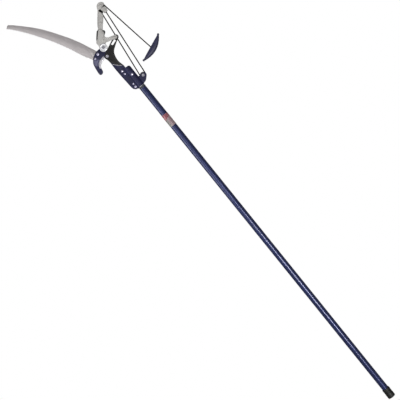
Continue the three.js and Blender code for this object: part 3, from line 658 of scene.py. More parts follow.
def braidTree():
    # A round cover of eight plies, four each way, over a dark core.
    tree, given, out = newGroup("ropeBraid", {
        "Route": ("Geometry", None), "Lay": ("Float", 0.009),
        "Middle": ("Float", 0.0014), "Ply": ("Float", 0.00095),
        "Weave": ("Float", 0.0001), "Finish": ("Material", None)},
        {"Geometry": "Geometry"}, "GeometryNodeTree")
    step = maths(tree, "DIVIDE", given["Lay"], 12.0)
    even = add(tree, "GeometryNodeResampleCurve", {"Curve": given["Route"], "Length": step},
               mode="LENGTH")
    plies = add(tree, "GeometryNodeDuplicateElements", {"Geometry": even.outputs[0], "Amount": 8},
                domain="SPLINE")
    marked = add(tree, "GeometryNodeStoreNamedAttribute", {
        "Geometry": plies.outputs["Geometry"], "Name": "plyIndex",
        "Value": plies.outputs["Duplicate Index"]},
        data_type="FLOAT", domain="POINT")
    index = add(tree, "GeometryNodeInputNamedAttribute", {"Name": "plyIndex"}, data_type="FLOAT").outputs[0]
    odd = maths(tree, "MODULO", index, 2.0)
    way = maths(tree, "MULTIPLY_ADD", odd, -2.0, 1.0)
    length = add(tree, "GeometryNodeSplineParameter").outputs["Length"]
    phase = times(tree, maths(tree, "DIVIDE", length, given["Lay"]), turn)
    start = times(tree, maths(tree, "FLOOR", maths(tree, "DIVIDE", index, 2.0)), turn / 4)
    angle = maths(tree, "MULTIPLY_ADD", phase, way, start)
    weave = times(tree, maths(tree, "COSINE", times(tree, phase, 4.0)), way)
    radius = maths(tree, "MULTIPLY_ADD", weave, given["Weave"], given["Middle"])
    normal = add(tree, "GeometryNodeInputNormal").outputs[0]
    tangent = add(tree, "GeometryNodeInputTangent").outputs[0]
    across = add(tree, "ShaderNodeVectorMath", {0: tangent, 1: normal}, operation="CROSS_PRODUCT").outputs[0]
    partA = add(tree, "ShaderNodeVectorMath", {0: normal, "Scale": maths(
        tree, "MULTIPLY", maths(tree, "COSINE", angle), radius)}, operation="SCALE").outputs[0]
    partB = add(tree, "ShaderNodeVectorMath", {0: across, "Scale": maths(
        tree, "MULTIPLY", maths(tree, "SINE", angle), radius)}, operation="SCALE").outputs[0]
    offset = add(tree, "ShaderNodeVectorMath", {0: partA, 1: partB}, operation="ADD").outputs[0]
    moved = add(tree, "GeometryNodeSetPosition", {"Geometry": marked.outputs[0], "Offset": offset})
    ringPly = add(tree, "GeometryNodeCurvePrimitiveCircle",
                  {"Resolution": 6, "Radius": given["Ply"]})
    cover = add(tree, "GeometryNodeCurveToMesh", {
        "Curve": moved.outputs[0], "Profile Curve": ringPly.outputs[0], "Fill Caps": True})
    coloured = add(tree, "GeometryNodeStoreNamedAttribute", {
        "Geometry": cover.outputs[0], "Name": "ply", "Value": maths(tree, "DIVIDE", index, 7.0)},
        data_type="FLOAT", domain="POINT")
    ringCore = add(tree, "GeometryNodeCurvePrimitiveCircle", {"Resolution": 10, "Radius": maths(
        tree, "MULTIPLY", given["Middle"], 1.32)})
    core = add(tree, "GeometryNodeCurveToMesh", {
        "Curve": even.outputs[0], "Profile Curve": ringCore.outputs[0], "Fill Caps": True})
    both = add(tree, "GeometryNodeJoinGeometry")
    tree.links.new(coloured.outputs[0], both.inputs[0])
    tree.links.new(core.outputs[0], both.inputs[0])
    return finishTree(tree, given, out, both)


def teethTree():
    # Saw teeth along a line, every other one turned over.
    tree, given, out = newGroup("sawTeeth", {
        "Line": ("Geometry", None), "Tooth": ("Object", None),
        "Pitch": ("Float", 0.0062), "Finish": ("Material", None)},
        {"Geometry": "Geometry"}, "GeometryNodeTree")
    spots = add(tree, "GeometryNodeCurveToPoints", {"Curve": given["Line"],
                                                    "Length": given["Pitch"]}, mode="LENGTH")
    aimed = add(tree, "FunctionNodeAlignRotationToVector", {"Vector": spots.outputs["Tangent"]},
                axis="X", pivot_axis="Z")
    index = add(tree, "GeometryNodeInputIndex").outputs[0]
    over = times(tree, maths(tree, "MODULO", index, 2.0), math.pi)
    flip = add(tree, "FunctionNodeEulerToRotation",
               {0: add(tree, "ShaderNodeCombineXYZ", {1: over}).outputs[0]})
    spin = add(tree, "FunctionNodeRotateRotation", {0: aimed.outputs[0], 1: flip.outputs[0]},
               rotation_space="LOCAL")
    tooth = add(tree, "GeometryNodeObjectInfo", {"Object": given["Tooth"]})
    copies = add(tree, "GeometryNodeInstanceOnPoints", {
        "Points": spots.outputs[0], "Instance": tooth.outputs["Geometry"], "Rotation": spin.outputs[0]})
    return finishTree(tree, given, out, copies)


copiesOnPoints, ropeBraid, sawTeeth = copiesTree(), braidTree(), teethTree()


def copies(part, spots, look):
    # spots holds (place, turned, sized) in millimetres and radians; part is a mesh in metres.
    template = held(part, "template")
    points = bpy.data.meshes.new("spots")
    points.from_pydata([Vector(place) * mm for place, turned, sized in spots], [], [])
    for label, column in (("turned", 1), ("sized", 2)):
        layer = points.attributes.new(label, "FLOAT_VECTOR", "POINT")
        for slotAt, spot in zip(layer.data, spots):
            slotAt.vector = spot[column]
    mesh = runTree(copiesOnPoints, points, Part=template, Finish=look)
    bpy.data.objects.remove(template)
    return mesh


def curveThrough(points):
    line = bpy.data.curves.new("route", "CURVE")
    line.dimensions = "3D"
    spline = line.splines.new("POLY")
    spline.points.add(len(points) - 1)
    for point, place in zip(spline.points, points):
        point.co = (*[c * mm for c in place], 1)
    return line


# Camera.

cameraPlace = {"over": (1040.1, 99.3, 4222.0), "lens": 100, "roll": math.radians(-128.87)}


def addCamera(values):
    eye = bpy.data.cameras.new("camera")
    eye.lens = values["lens"]
    eye.sensor_width = 36
    eye.clip_end = 50
    holder = bpy.data.objects.new("camera", eye)
    holder.location = Vector(values["over"]) * mm
    holder.rotation_euler = (0, 0, values["roll"])
    inScene(holder)
    bpy.context.scene.camera = holder


addCamera(cameraPlace)
print("camera placed")


# Rope.

rope = {
    "upper": (1850.5, -70), "lower": (1544.7, -30.4), "pitchRadius": 11, "radius": 2,
    "becketEnd": (1820.2, -71.2), "handleEntry": (1611.7, -120.5), "gapAngle": 0.02,
    "drop": (0, -0.6, -3, -6.6, -9.4, -10.6, -10, -9, -9), "dropAt": (0.2, 18, 60, 105, 150, 190, 220, 236),
    "intoHandle": 9, "bushingBack": 23.2,
}


def ropeRoutes(values):
    # The rope runs in over the upper sheave, round the lower one and back to the becket.
    upper, lower = Vector(values["upper"]), Vector(values["lower"])
    reach = values["pitchRadius"]
    run = (upper - lower).normalized()
    side = flat(-run.y, run.x)
    inTurn = math.atan2(side.y, side.x)
    becket, handle = Vector(values["becketEnd"]), Vector(values["handleEntry"])
    away = becket - lower
    outTurn = math.atan2(away.y, away.x) - math.acos(reach / away.length)
    away = handle - upper
    handTurn = math.atan2(away.y, away.x) + math.acos(reach / away.length)
    handOff = angled(upper, reach, handTurn)
    hand = (handle - handOff).normalized()
    stops = [*values["dropAt"], (handle - handOff).length + values["intoHandle"]]
    lift = [(s, 0, z) for s, z in zip(stops, values["drop"])]
    strand = [(*(handOff + hand * p.x), p.z) for p in throughPoints(lift, 4)]

    def straight(a, b):
        return [(*a.lerp(b, k / 24), 0) for k in range(25)]

    def around(centre, start, end):
        return [(*angled(centre, reach, start + (end - start) * k / 40), 0) for k in range(41)]
    gap = values["gapAngle"]
    return {
        "ropeHandleStrand": strand,
        "ropeStrandIn": straight(lower + side * reach, upper + side * reach),
        "ropeStrandOut": straight(angled(lower, reach, outTurn), becket),
        "ropeLowerTurn": around(lower, inTurn + gap, outTurn + turn - gap),
        "ropeUpperTurn": around(upper, inTurn - gap, handTurn + gap),
    }


routes = ropeRoutes(rope)
ropeBodies = {
    "ropeHandleStrand": ("rope_end", "rope_handle_strand"), "ropeStrandIn": ("head", "rope_strand_in"),
    "ropeStrandOut": ("head", "rope_strand_out"), "ropeLowerTurn": ("head", "rope_lower_turn"),
    "ropeUpperTurn": ("rope_end", "rope_upper_turn"),
}
ropePieces = {}
for name, (body, node) in ropeBodies.items():
    mesh = runTree(ropeBraid, curveThrough(routes[name]), Lay=9 * mm, Finish=ropeCover)
    ropePieces[name] = addPiece(name, mesh, ropeCover, body, [node], sharp=180)
for name in ("ropeStrandIn", "ropeStrandOut"):
    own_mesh(ropePieces[name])
print("rope braided:", sum(len(p.data.polygons) for p in ropePieces.values()), "faces")


# Outer pole, cap, collar, label.

pole = {"radius": 12.9, "bore": 11.6, "start": 4.4, "end": 1508, "lip": 0.5}
capSize = {"radius": 15.2, "length": 41, "bore": 13.2, "floor": 4.1, "grooves": (21, 25, 29), "ribs": 36}
collar = {"bore": 11.45, "radius": 13.3, "start": 1508.3, "end": 1516.2, "ribs": 44}
label = {"radius": 13.2, "thick": 0.35, "start": 1324, "end": 1378, "half": math.radians(78), "rows": 40}


def poleTube(values):
    bore, radius, start, end, lip = (values[k] for k in ("bore", "radius", "start", "end", "lip"))
    profile = [(bore, start + lip), (bore + lip / 2, start), (radius - lip, start), (radius, start + lip)]
    steps = 12
    profile += [(radius, start + lip + (end - start - 2 * lip) * k / steps) for k in range(1, steps + 1)]
    profile += [(radius - lip, end), (bore + lip / 2, end), (bore, end - lip)]
    return lathe(profile, 128, "X")


def endCap(values):
    radius, bore, floor = values["radius"], values["bore"], values["floor"]
    outer = [(0, 0), (12.4, 0), (14.4, 1), (radius, 3.4)]
    for place in values["grooves"]:
        outer += [(radius, place - 1.6), (radius - 0.8, place - 1.0), (radius - 0.8, place + 1.0),
                  (radius, place + 1.6)]
    outer += [(radius, values["length"] - 1.6), (14.2, values["length"]), (bore, values["length"]),
              (bore, floor), (0, floor)]
    return lathe(filleted(outer, 0.7), 96, "X")


def lockCollar(values):
    body = lathe(filleted([(values["bore"], values["start"]), (values["radius"] - 0.5, values["start"]),
                           (values["radius"] - 0.5, values["end"] - 1.2), (12.2, values["end"]),
                           (values["bore"], values["end"])], 0.3), 88, "X")
    length = values["end"] - values["start"] - 2.6
    rib = sweep([(-length / 2, 0, 0), (length / 2, 0, 0)], [(-0.45, 0), (0.45, 0), (0.3, 0.5), (-0.3, 0.5)])
    middle = (values["start"] + values["end"]) / 2 - 0.4
    spots = []
    for k in range(values["ribs"]):
        angle = turn * k / values["ribs"]
        reach = values["radius"] - 0.52
        spots.append(((middle, -reach * math.sin(angle), reach * math.cos(angle)), (angle, 0, 0), (1, 1, 1)))
    return joined(body, copies(rib, spots, collarPlastic))


def labelFilm(values):
    # Two curved skins and the edges between them, with its own map for the print.
    columns, rows = 12, values["rows"]
    vertices, faces = [], []
    for radius in (values["radius"], values["radius"] + values["thick"]):
        for i in range(columns + 1):
            x = values["start"] + (values["end"] - values["start"]) * i / columns
            for k in range(rows + 1):
                angle = turn / 4 - values["half"] + 2 * values["half"] * k / rows
                vertices.append((x, radius * math.cos(angle), radius * math.sin(angle)))
    wide = rows + 1
    under = (columns + 1) * wide
    for i in range(columns):
        for k in range(rows):
            p = i * wide + k
            faces.append((p, p + 1, p + wide + 1, p + wide))
            faces.append((p + under, p + wide + under, p + wide + 1 + under, p + 1 + under))
    rim = [k for k in range(rows)] + [i * wide + rows for i in range(columns)]
    rim += [columns * wide + k for k in range(rows, 0, -1)] + [i * wide for i in range(columns, 0, -1)]
    for a, b in zip(rim, rim[1:] + rim[:1]):
        faces.append((a, a + under, b + under, b))
    mesh = meshFrom(vertices, faces)
    layer = mesh.uv_layers.new(name="print")
    for corner in mesh.loops:
        place = mesh.vertices[corner.vertex_index].co / mm
        angle = math.atan2(place.z, place.y)
        layer.data[corner.index].uv = (
            (place.x - values["start"]) / (values["end"] - values["start"]),
            1 - (angle - turn / 4 + values["half"]) / (2 * values["half"]))
    return mesh


addPiece("outerTube", poleTube(pole), poleEnamel, "outer_pole", ["outer_tube"])
addPiece("buttCap", endCap(capSize), capRubber, "outer_pole", ["end_cap"])
addPiece("gripCollar", lockCollar(collar), collarPlastic, "outer_pole", ["lock_collar"])
addPiece("printedLabel", labelFilm(label), labelPrint, "outer_pole", ["label_sticker"])
innerPole = {"radius": 11.15, "bore": 9.9, "start": 119.9, "end": 1604, "lip": 0.3}
addPiece("innerTube", poleTube(innerPole), tubeAlloy, "head", ["inner_tube"])
for node, look in (("lock_cam", collarPlastic), ("lock_plug", blackNylon)):
    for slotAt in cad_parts[node].material_slots:
        slotAt.material = look
print("pole done")


# Head: socket pressings, hook plate, counter edge.

headSizes = {"voxel": 0.6, "passes": 3, "plateRim": 0.8, "edgeRim": 1.3, "foldRadius": 1.1}
for side in ("front", "back"):
    shell = welded(merged("socket_" + side), headSizes["voxel"], headSizes["passes"])
    addPiece("socket" + side.capitalize(), shell, headPaint, "head", ["socket_" + side],
             sharp=180)
# A thin bead along the fold between ear and barrel, coloured pale as a painted highlight.
foldLine = [(1523, -13.1, 5.4), (1530, -13.2, 5.5), (1540, -13.2, 5.5), (1550.6, -13.1, 5.4)]
addPiece("socketFold", sweep(foldLine, ringSection(headSizes["foldRadius"], 12)), foldPaintedHighlight, "head")
plateLoops = [softened(loop) for loop in nodeOutlines("hook_plate", 2)]
addPiece("hookPlate", plate(plateLoops, -2, 2, headSizes["plateRim"], 3), hookPaintAndHighlight, "head",
         ["hook_plate"])
edgeLoops = [softened(loop) for loop in nodeOutlines("counter_edge", 1.9)]
addPiece("counterEdge", plate(edgeLoops, -1.9, 1.9, headSizes["edgeRim"], 3), groundSteel, "head",
         ["counter_edge"])
print("head done")


# Saw.

saw = {
    "low": -4.3, "high": -2.6, "pitch": 6.2, "depth": 3.4, "rim": 0.2,
    "toothLine": [(1732, 94.4), (1755.2, 105.6), (1794.5, 122.6), (1832.5, 141.8), (1868, 161.6),
                  (1902.4, 183.4), (1935.5, 205.4), (1967, 228.6), (1992.5, 249.4), (2006.5, 262.6)],
}


def withSides(line):
    # Each point of a line with the unit vector to its left.
    for i, point in enumerate(line):
        along = (line[min(i + 1, len(line) - 1)] - line[max(i - 1, 0)]).normalized()
        yield point, flat(-along.y, along.x)


def sawBody(values):
    # The blade blank: the CAD outline with its toothed side cut back to the tooth roots.
    outer, *holes = nodeOutlines("saw_blade", values["high"])
    line = throughPoints(values["toothLine"], 6)
    roots = [point - side * values["depth"] / 2 for point, side in withSides(line)]
    tip, heel = nearest(outer, *values["toothLine"][-1]), nearest(outer, *values["toothLine"][0])
    lap = len(outer)
    kept = []
    i = heel
    while i != tip:
        i = (i + 1) % lap
        kept.append(outer[i])
    if any((p - roots[len(roots) // 2]).length < values["pitch"] for p in kept):
        kept = [outer[(tip + k) % lap] for k in range(1, (heel - tip) % lap)]
    else:
        kept = kept[:-1]
    if (kept[0] - roots[-1]).length > (kept[0] - roots[0]).length:
        roots.reverse()
    kept = softened(kept + roots[::-1] if (kept[-1] - roots[-1]).length < (kept[-1] - roots[0]).length
                    else kept + roots, steps=2)
    return plate([kept] + [softened(h) for h in holes], values["low"], values["high"], values["rim"], 1)


def sawTooth(values):
    # One three-sided ground tooth with its point in the lower face.
    half, depth, thick = values["pitch"] / 2, values["depth"], (values["high"] - values["low"]) / 2 - 0.02
    low = [(-half, -0.8), (half, -0.8), (half, 0), (0, depth), (-half, 0)]
    high = [(-half, -0.8), (half, -0.8), (half * 0.55, 0), (0, depth * 0.62), (-half * 0.55, 0)]
    vertices = [(x, y, -thick) for x, y in low] + [(x, y, thick) for x, y in high]
    faces = [(4, 3, 2, 1, 0), (5, 6, 7, 8, 9)]
    faces += [(k, (k + 1) % 5, (k + 1) % 5 + 5, k + 5) for k in range(5)]
    return meshFrom(vertices, faces)


def toothRow(values):
    line = throughPoints(values["toothLine"], 10)
    middle = (values["low"] + values["high"]) / 2
    roots = [(*(point - side * values["depth"] / 2), middle) for point, side in withSides(line)]
    tooth = held(sawTooth(values), "tooth")
    mesh = runTree(sawTeeth, curveThrough(roots), Tooth=tooth, Pitch=values["pitch"] * mm, Finish=sawSteel)
    bpy.data.objects.remove(tooth)
    return mesh


sawMesh = joined(sawBody(saw), toothRow(saw))
addPiece("sawBlade", sawMesh, sawSteel, "head", ["saw_blade"])
print("saw done:", len(sawMesh.polygons), "faces")


# Cutting blade.

blade = {"low": 2.4, "high": 5.4, "rim": 0.5, "ground": 1.9, "wave": 0.4, "cutFrom": (1652.6, 36.4),
         "cutTo": (1621.6, 6.6), "webLines": [[(1700.4, 3.6, 0), (1702.5, -0.5, 0), (1708.8, -10, 0)],
                      [(1715.8, -31.4, 0), (1720.4, -43, 0)]], "webHalf": 4.6, "webLow": 2.45,
                      "webHigh": 3.4}


def bladeParts(values):
    outer, *holes = nodeOutlines("cutting_blade", values["high"])
    a, b = nearest(outer, *values["cutFrom"]), nearest(outer, *values["cutTo"])
    forward = (b - a) % len(outer) < (a - b) % len(outer)
    first, last = (a, b) if forward else (b, a)
    cut = [outer[(first + k) % len(outer)] for k in range((last - first) % len(outer) + 1)]
    rest = [outer[(last + k) % len(outer)] for k in range(1, (first - last) % len(outer))]
    edge = throughPoints(cut, 5)
    inner = []
    for i, (point, side) in enumerate(withSides(edge)):
        share = i / (len(edge) - 1)
        deep = min(1, 6 * share,
                   6 * (1 - share)) * (values["ground"] + values["wave"] * math.sin(share * 17))
        inner.append(point + side * max(deep, 0.4))
    body = plate([softened(rest, steps=2) + inner] + [softened(h) for h in holes],
                 values["low"], values["high"], values["rim"])
    vertices, faces = [], []
    for out, inn in zip(edge, inner):
        inn = inn + (inn - out).normalized() * 0.5
        vertices += [(*out, values["low"]), (*out, values["low"] + 0.3), (*inn, values["high"] - 0.05),
                     (*inn, values["low"])]
    for i in range(len(edge) - 1):
        faces += [(4 * i + k, 4 * i + (k + 1) % 4, 4 * i + 4 + (k + 1) % 4, 4 * i + 4 + k) for k in range(4)]
    faces += [(0, 1, 2, 3), tuple(range(len(vertices) - 4, len(vertices)))]
    return body, meshFrom(vertices, faces)


def slotWeb(values):
    # Thin floors in the two ends of the slot.
    half, low, high = values["webHalf"], values["webLow"], values["webHigh"]
    section = [(-half, low), (half, low), (half, high), (-half, high)]
    return joined(*[sweep(line, section) for line in values["webLines"]])


bladeBody, bladeEdge = bladeParts(blade)
bladeBody = joined(bladeBody, slotWeb(blade))
addPiece("cuttingBlade", bladeBody, blackBlade, "cutting_blade", ["cutting_blade"])
addPiece("bladeGroundEdge", bladeEdge, groundSteel, "cutting_blade")
print("cutting blade done")


# Lever.

lever = {
    "pivot": (1719.2, 21.6), "low": 6.5, "high": 8.7, "rib": 9.5, "voxel": 0.5, "passes": 3,
    "block": [(1741, 12), (1752, -3), (1764, -12.6), (1777, -13.4), (1783.6, -7.6), (1779, -1),
              (1757, 18.6)],
    "blockTop": 11.2,
    "armEdges": [[(1788, -9.5), (1806, -20), (1840, -48.5)], [(1783.6, -24), (1796, -36.5), (1818, -55)]],
    "sideArm": [[(1722, -43), (1733.5, -22), (1745, -6)]],
    "head": (1853.6, -70), "headRadius": 10.8,
}


def leverCasting(values):
    # Plate, raised block, arm ribs and head disc, run together as one casting.
    loops = [softened(loop) for loop in nodeOutlines("lever_front", 9.5)]
    parts = [plate(loops, values["low"], values["high"], 0.4)]
    block = throughPoints(values["block"], 4, closed=True)
    parts.append(plate([block], values["high"] - 1, values["blockTop"], 0.6))
    for lines, sunk, radius in ((values["armEdges"], 0, 1.5), (values["sideArm"], 0.2, 1.6)):
        for line in lines:
            track = [(*p, values["high"] - sunk) for p in throughPoints(line, 6)]
            parts.append(sweep(track, ringSection(radius, 12)))
    disc = lathe([(0, values["high"] - 1), (values["headRadius"], values["high"] - 1),
                  (values["headRadius"], values["rib"] - 0.2), (9.8, values["rib"]),
                  (8.8, values["rib"] - 0.4),
                  (0, values["rib"] - 0.4)], 64, at=values["head"])
    parts.append(disc)
    return welded(joined(*parts), values["voxel"], values["passes"])


def leverHub(values, side):
    # The boss on one side of the lever, with a rolled rim and a machined face.
    x, y = values["pivot"]
    if side == "front":
        profile = [(4.3, 2.5), (8, 2.5), (8, 9.8), (14.2, 9.8), (15.2, 10.6), (15.2, 11.4), (14.4, 12.3),
                   (12.4, 12.6),
                   (11.4, 12.2), (9.6, 11.9), (9, 12.6), (4.3, 12.6)]
    else:
        profile = [(4.3, -2.5), (4.3, -11.6), (11, -11.6), (12, -10.8), (12, -9.3), (8, -9.3), (8, -2.5)]
    return lathe(filleted(profile, 0.5), 72, at=(x, y))


addPiece("leverCasting", leverCasting(lever), castSilver, "lever", ["lever_front"], sharp=180)
cheekLoops = [softened(loop) for loop in nodeOutlines("lever_back", -6)]
cheek = {"low": -9, "high": -6, "rim": 0.6}
addPiece("leverCheek", plate(cheekLoops, cheek["low"], cheek["high"], cheek["rim"]), blackBlade, "lever",
         ["lever_back"])
addPiece("leverHubFront", leverHub(lever, "front"), bossSilver, "lever", ["lever_hub_front"])
addPiece("leverHubBack", leverHub(lever, "back"), castSilver, "lever", ["lever_hub_back"])
becketLoops = [softened(loop, steps=2) for loop in nodeOutlines("becket_block", 6.2)]
becket = {"low": -5.7, "high": 6.2, "rim": 1.0}
addPiece("becketBlock", plate(becketLoops, becket["low"], becket["high"], becket["rim"]), castSilver,
         "lever", ["becket_block"])


def spring(values):
    # Torsion spring round the pivot.
    points = []
    count = 140
    for k in range(count + 1):
        angle = -0.6 + k / count * turn * values["turns"]
        points.append((*angled(lever["pivot"], values["radius"], angle),
                       values["low"] + values["rise"] * k / count))
    return sweep(points, ringSection(values["wire"], 10))


springSize = {"radius": 10.2, "wire": 0.6, "turns": 1.6, "low": 3.2, "rise": 2.3}
addPiece("returnSpring", spring(springSize), zincPlate, "head", ["return_spring"])
print("lever done")


# Fasteners.

fasteners = {
    "headBolts": [  # place, head radius, head height, shank radius, underside, end
        ((1605.8, 22.3), 4.9, 3.2, 2.5, 4.6, -8.6), ((1528.3, 19.2), 4.9, 3.2, 2.5, 4.6, -8.6),
        ((1591.8, 21.4), 3.7, 2.2, 1.6, 4.6, -7.4), ((1542.1, 19), 3.7, 2.2, 1.6, 4.6, -7.4),
        ((1714.3, 54), 5.3, 3.2, 2.5, 2.3, -8.6), ((1706.9, 72.1), 4.0, 3.2, 2.5, 2.3, -8.6),
        ((1572, 0.6), 5.0, 3.2, 2.5, 14.2, -18.8)],
    "pivotBolts": [((1685.4, 30.9), 5.9, 2.6, 4.0, 5.7, -7.4), ((1719.2, 21.6), 6.2, 2.8, 4.0, 12.9, -16.6)],
    "nuts": [  # place, corner radius, low, high
        ((1605.8, 22.3), 4.7, -7.8, -4.6), ((1528.3, 19.2), 4.7, -7.8, -4.6),
        ((1591.8, 21.4), 3.4, -6.8, -4.6), ((1542.1, 19), 3.4, -6.8, -4.6),
        ((1714.3, 54), 4.7, -7.8, -4.6), ((1706.9, 72.1), 4.7, -7.8, -4.6),
        ((1572, 0.6), 4.7, -17.8, -14.2), ((1685.4, 30.9), 7.0, -6.2, -2.3),
        ((1719.2, 21.6), 7.0, -15.6, -11.9)],
}


def roundHead():
    # A domed head one millimetre in radius and height.
    dome = [(0, 0), (1, 0), (1, 0.28)]
    dome += [(math.cos(a * turn / 4 / 5), 0.28 + 0.72 * math.sin(a * turn / 4 / 5)) for a in range(1, 5)]
    return lathe(dome + [(0, 1)], 32)


def socketHead():
    # A low head with a chamfer and a round recess with a dimple, one millimetre in radius and height.
    return lathe([(0, 0), (0.94, 0), (1, 0.12), (1, 0.62), (0.86, 0.92), (0.62, 1), (0.5, 0.96),
                  (0.44, 0.62),
                  (0.3, 0.5), (0.16, 0.62), (0, 0.7)], 40)


def shankPart():
    # A rod one millimetre in radius and length, with rolled thread rings on its lower part.
    profile = [(0, 0), (0.86, 0)]
    profile += [(0.86 if k % 2 else 1.0, 0.02 + k * 0.018) for k in range(20)]
    return lathe(profile + [(1.0, 0.4), (1.0, 1.0), (0, 1.0)], 20)


def hexNut():
    # A hexagon one millimetre in corner radius and height, chamfered and bored.
    bore, corner = 0.56, 1.0
    vertices, faces = [], []
    count = 24
    for radius, height in ((bore, 0), (0.88, 0), (corner, 0.14), (corner, 0.86), (0.88, 1), (bore, 1)):
        for k in range(count):
            angle = turn * k / count
            hexagon = math.cos(turn / 12) / math.cos((angle % (turn / 6)) - turn / 12)
            reach = min(radius, hexagon) if radius > bore else radius
            vertices.append((reach * math.cos(angle), reach * math.sin(angle), height))
    for i in range(6):
        for k in range(count):
            n = (k + 1) % count
            low, high = i * count, (i + 1) % 6 * count
            faces.append((low + k, low + n, high + n, high + k))
    return meshFrom(vertices, faces)


def boltSet(bolts, head, look):
    heads = [((*at, under), (0, 0, k * 0.7), (radius, radius, tall))
             for k, (at, radius, tall, shank, under, end) in enumerate(bolts)]
    rods = [((*at, end), (0, 0, 0), (shank, shank, under - end + 0.2))
            for at, radius, tall, shank, under, end in bolts]
    return joined(copies(head, heads, look), copies(shankPart(), rods, look))


def axlePart(at, low, high, headRadius):
    return lathe(filleted([
        (0, low - 2.1), (headRadius * 0.8, low - 2.1), (headRadius, low - 1.6), (headRadius, low - 0.3),
        (2.6, low - 0.3), (2.6, high + 0.3), (headRadius, high + 0.3), (headRadius, high + 1.1),
        (headRadius * 0.7, high + 2.1), (headRadius * 0.35, high + 2.1), (headRadius * 0.25, high + 1.7),
        (0, high + 1.7)], 0.3, 2), 40, at=at)


boltNodes = ["flange_bolt_big_1", "flange_bolt_big_2", "flange_bolt_small_1", "flange_bolt_small_2",
             "saw_bolt_1", "saw_bolt_2", "tube_bolt"]
nutNodes = [name.replace("bolt", "nut") for name in boltNodes] + ["blade_pivot_nut", "lever_pivot_nut"]
addPiece("headBolts", boltSet(fasteners["headBolts"], roundHead(), zincPlate), zincPlate, "head",
         boltNodes)
addPiece("pivotBolts", boltSet(fasteners["pivotBolts"], socketHead(), boltSteel), boltSteel, "head",
         ["blade_pivot_bolt", "lever_pivot_bolt"])
nutSpots = [((*at, low), (0, 0, k * 0.5), (radius, radius, high - low))
            for k, (at, radius, low, high) in enumerate(fasteners["nuts"])]
addPiece("hexNuts", copies(hexNut(), nutSpots, zincPlate), zincPlate, "head", nutNodes)
addPiece("lowerAxle", axlePart(rope["lower"], -7, 7, 5.8), boltSteel, "head", ["lower_sheave_axle"])
addPiece("upperAxle", axlePart(rope["upper"], -9, 9.5, 5), castSilver, "lever",
         ["upper_sheave_axle"])

rivets = {"places": [(1768, -10), (1744.5, 5.5), (1799, -27.5)], "front": 9.8, "back": -9.3}


def rivetPart(middle, head, tall=1.6):
    front, back = rivets["front"], rivets["back"]
    return lathe(filleted([
        (0, back - tall), (head * 0.6, back - tall), (head, back - 0.7), (head, back), (2.6, back),
        (2.6, -5.7),
        (middle, -5.7), (middle, 6.2), (2.6, 6.2), (2.6, front), (head, front), (head, front + 0.7),
        (head * 0.6, front + tall), (0, front + tall)], 0.25, 2), 32)


rivetSpots = [((*at, 0), (0, 0, 0), (1, 1, 1)) for at in rivets["places"]]
addPiece("leverRivets", copies(rivetPart(5, 4.4), rivetSpots, castSilver), castSilver, "lever",
         ["lever_rivet_1", "lever_rivet_2", "lever_rivet_3"])
addPiece("becketRivet",
         copies(rivetPart(2.6, 3.6), [((1828.3, -71.5, 0), (0, 0, 0), (1, 1, 1))], castSilver),
         castSilver, "lever", ["becket_rivet"])
slotPinAt = (1719.8, -41)
pin = [(0, 3.8), (2.2, 3.8), (2.4, 4.0), (2.4, 6.2), (1.9, 6.2), (1.9, 9.8), (3.6, 9.8), (3.6, 10.3),
       (3.0, 10.9),
       (0, 10.9)]
addPiece("slotPin", lathe(pin, 32, at=slotPinAt), castSilver, "lever", ["slot_pin"])
print("fasteners done")


# Sheaves and bushing.

sheaveSizes = {"bore": 2.9, "hub": 5.4, "half": 3.8, "root": 8.9, "web": 3.0}


def sheave(at, hubHalf, rim, values):
    # A grooved wheel with a round rope seat.
    half, root = values["half"], values["root"]
    groove = [(root + 2.2 - 2.2 * math.cos(a), 2.1 * math.sin(a)) for a in
              [(-0.5 + k / 8) * math.pi * 0.85 for k in range(9)]]
    profile = [(values["bore"], -hubHalf), (values["hub"], -hubHalf), (values["hub"], -values["web"]),
               (7.2, -values["web"]), (7.8, -half), (rim - 0.3, -half), (rim, -half + 0.4),
               (rim, -half + 0.9)]
    profile += groove
    profile += [(rim, half - 0.9), (rim, half - 0.4), (rim - 0.3, half), (7.8, half), (7.2, values["web"]),
                (values["hub"], values["web"]), (values["hub"], hubHalf), (values["bore"], hubHalf)]
    return lathe(profile, 64, at=at)


for side, hubHalf, rim in (("upper", 5.4, 13.5), ("lower", 4.6, 12.8)):
    addPiece(side + "Sheave", sheave(rope[side], hubHalf, rim, sheaveSizes), blackNylon, side + "_sheave",
             [side + "_sheave"])


def bushing():
    upper, lower = Vector(rope["upper"]), Vector(rope["lower"])
    run = (upper - lower).normalized()
    at = upper + flat(-run.y, run.x) * rope["pitchRadius"] - run * rope["bushingBack"]
    tube = lathe(filleted([(2.5, -3.4), (4.6, -3.4), (4.6, 3.4), (2.5, 3.4)], 0.8, 4), 40, "X")
    tube.transform(Matrix.Translation((at.x * mm, at.y * mm, 0)) @ Matrix.Rotation(math.atan2(run.y, run.x),
                                                                                   4, "Z"))
    return tube


addPiece("ropeBushing", bushing(), blackNylon, "lever", ["rope_bushing"])
print("sheaves done")


# Pull handle.

handle = {"tips": [(1631.4, -172.2), (1588.9, -67.6)], "depth": 22.2, "half": 9.85, "z": -9, "ball": 4.4,
          "rings": 72, "around": 40, "parting": 0.35}


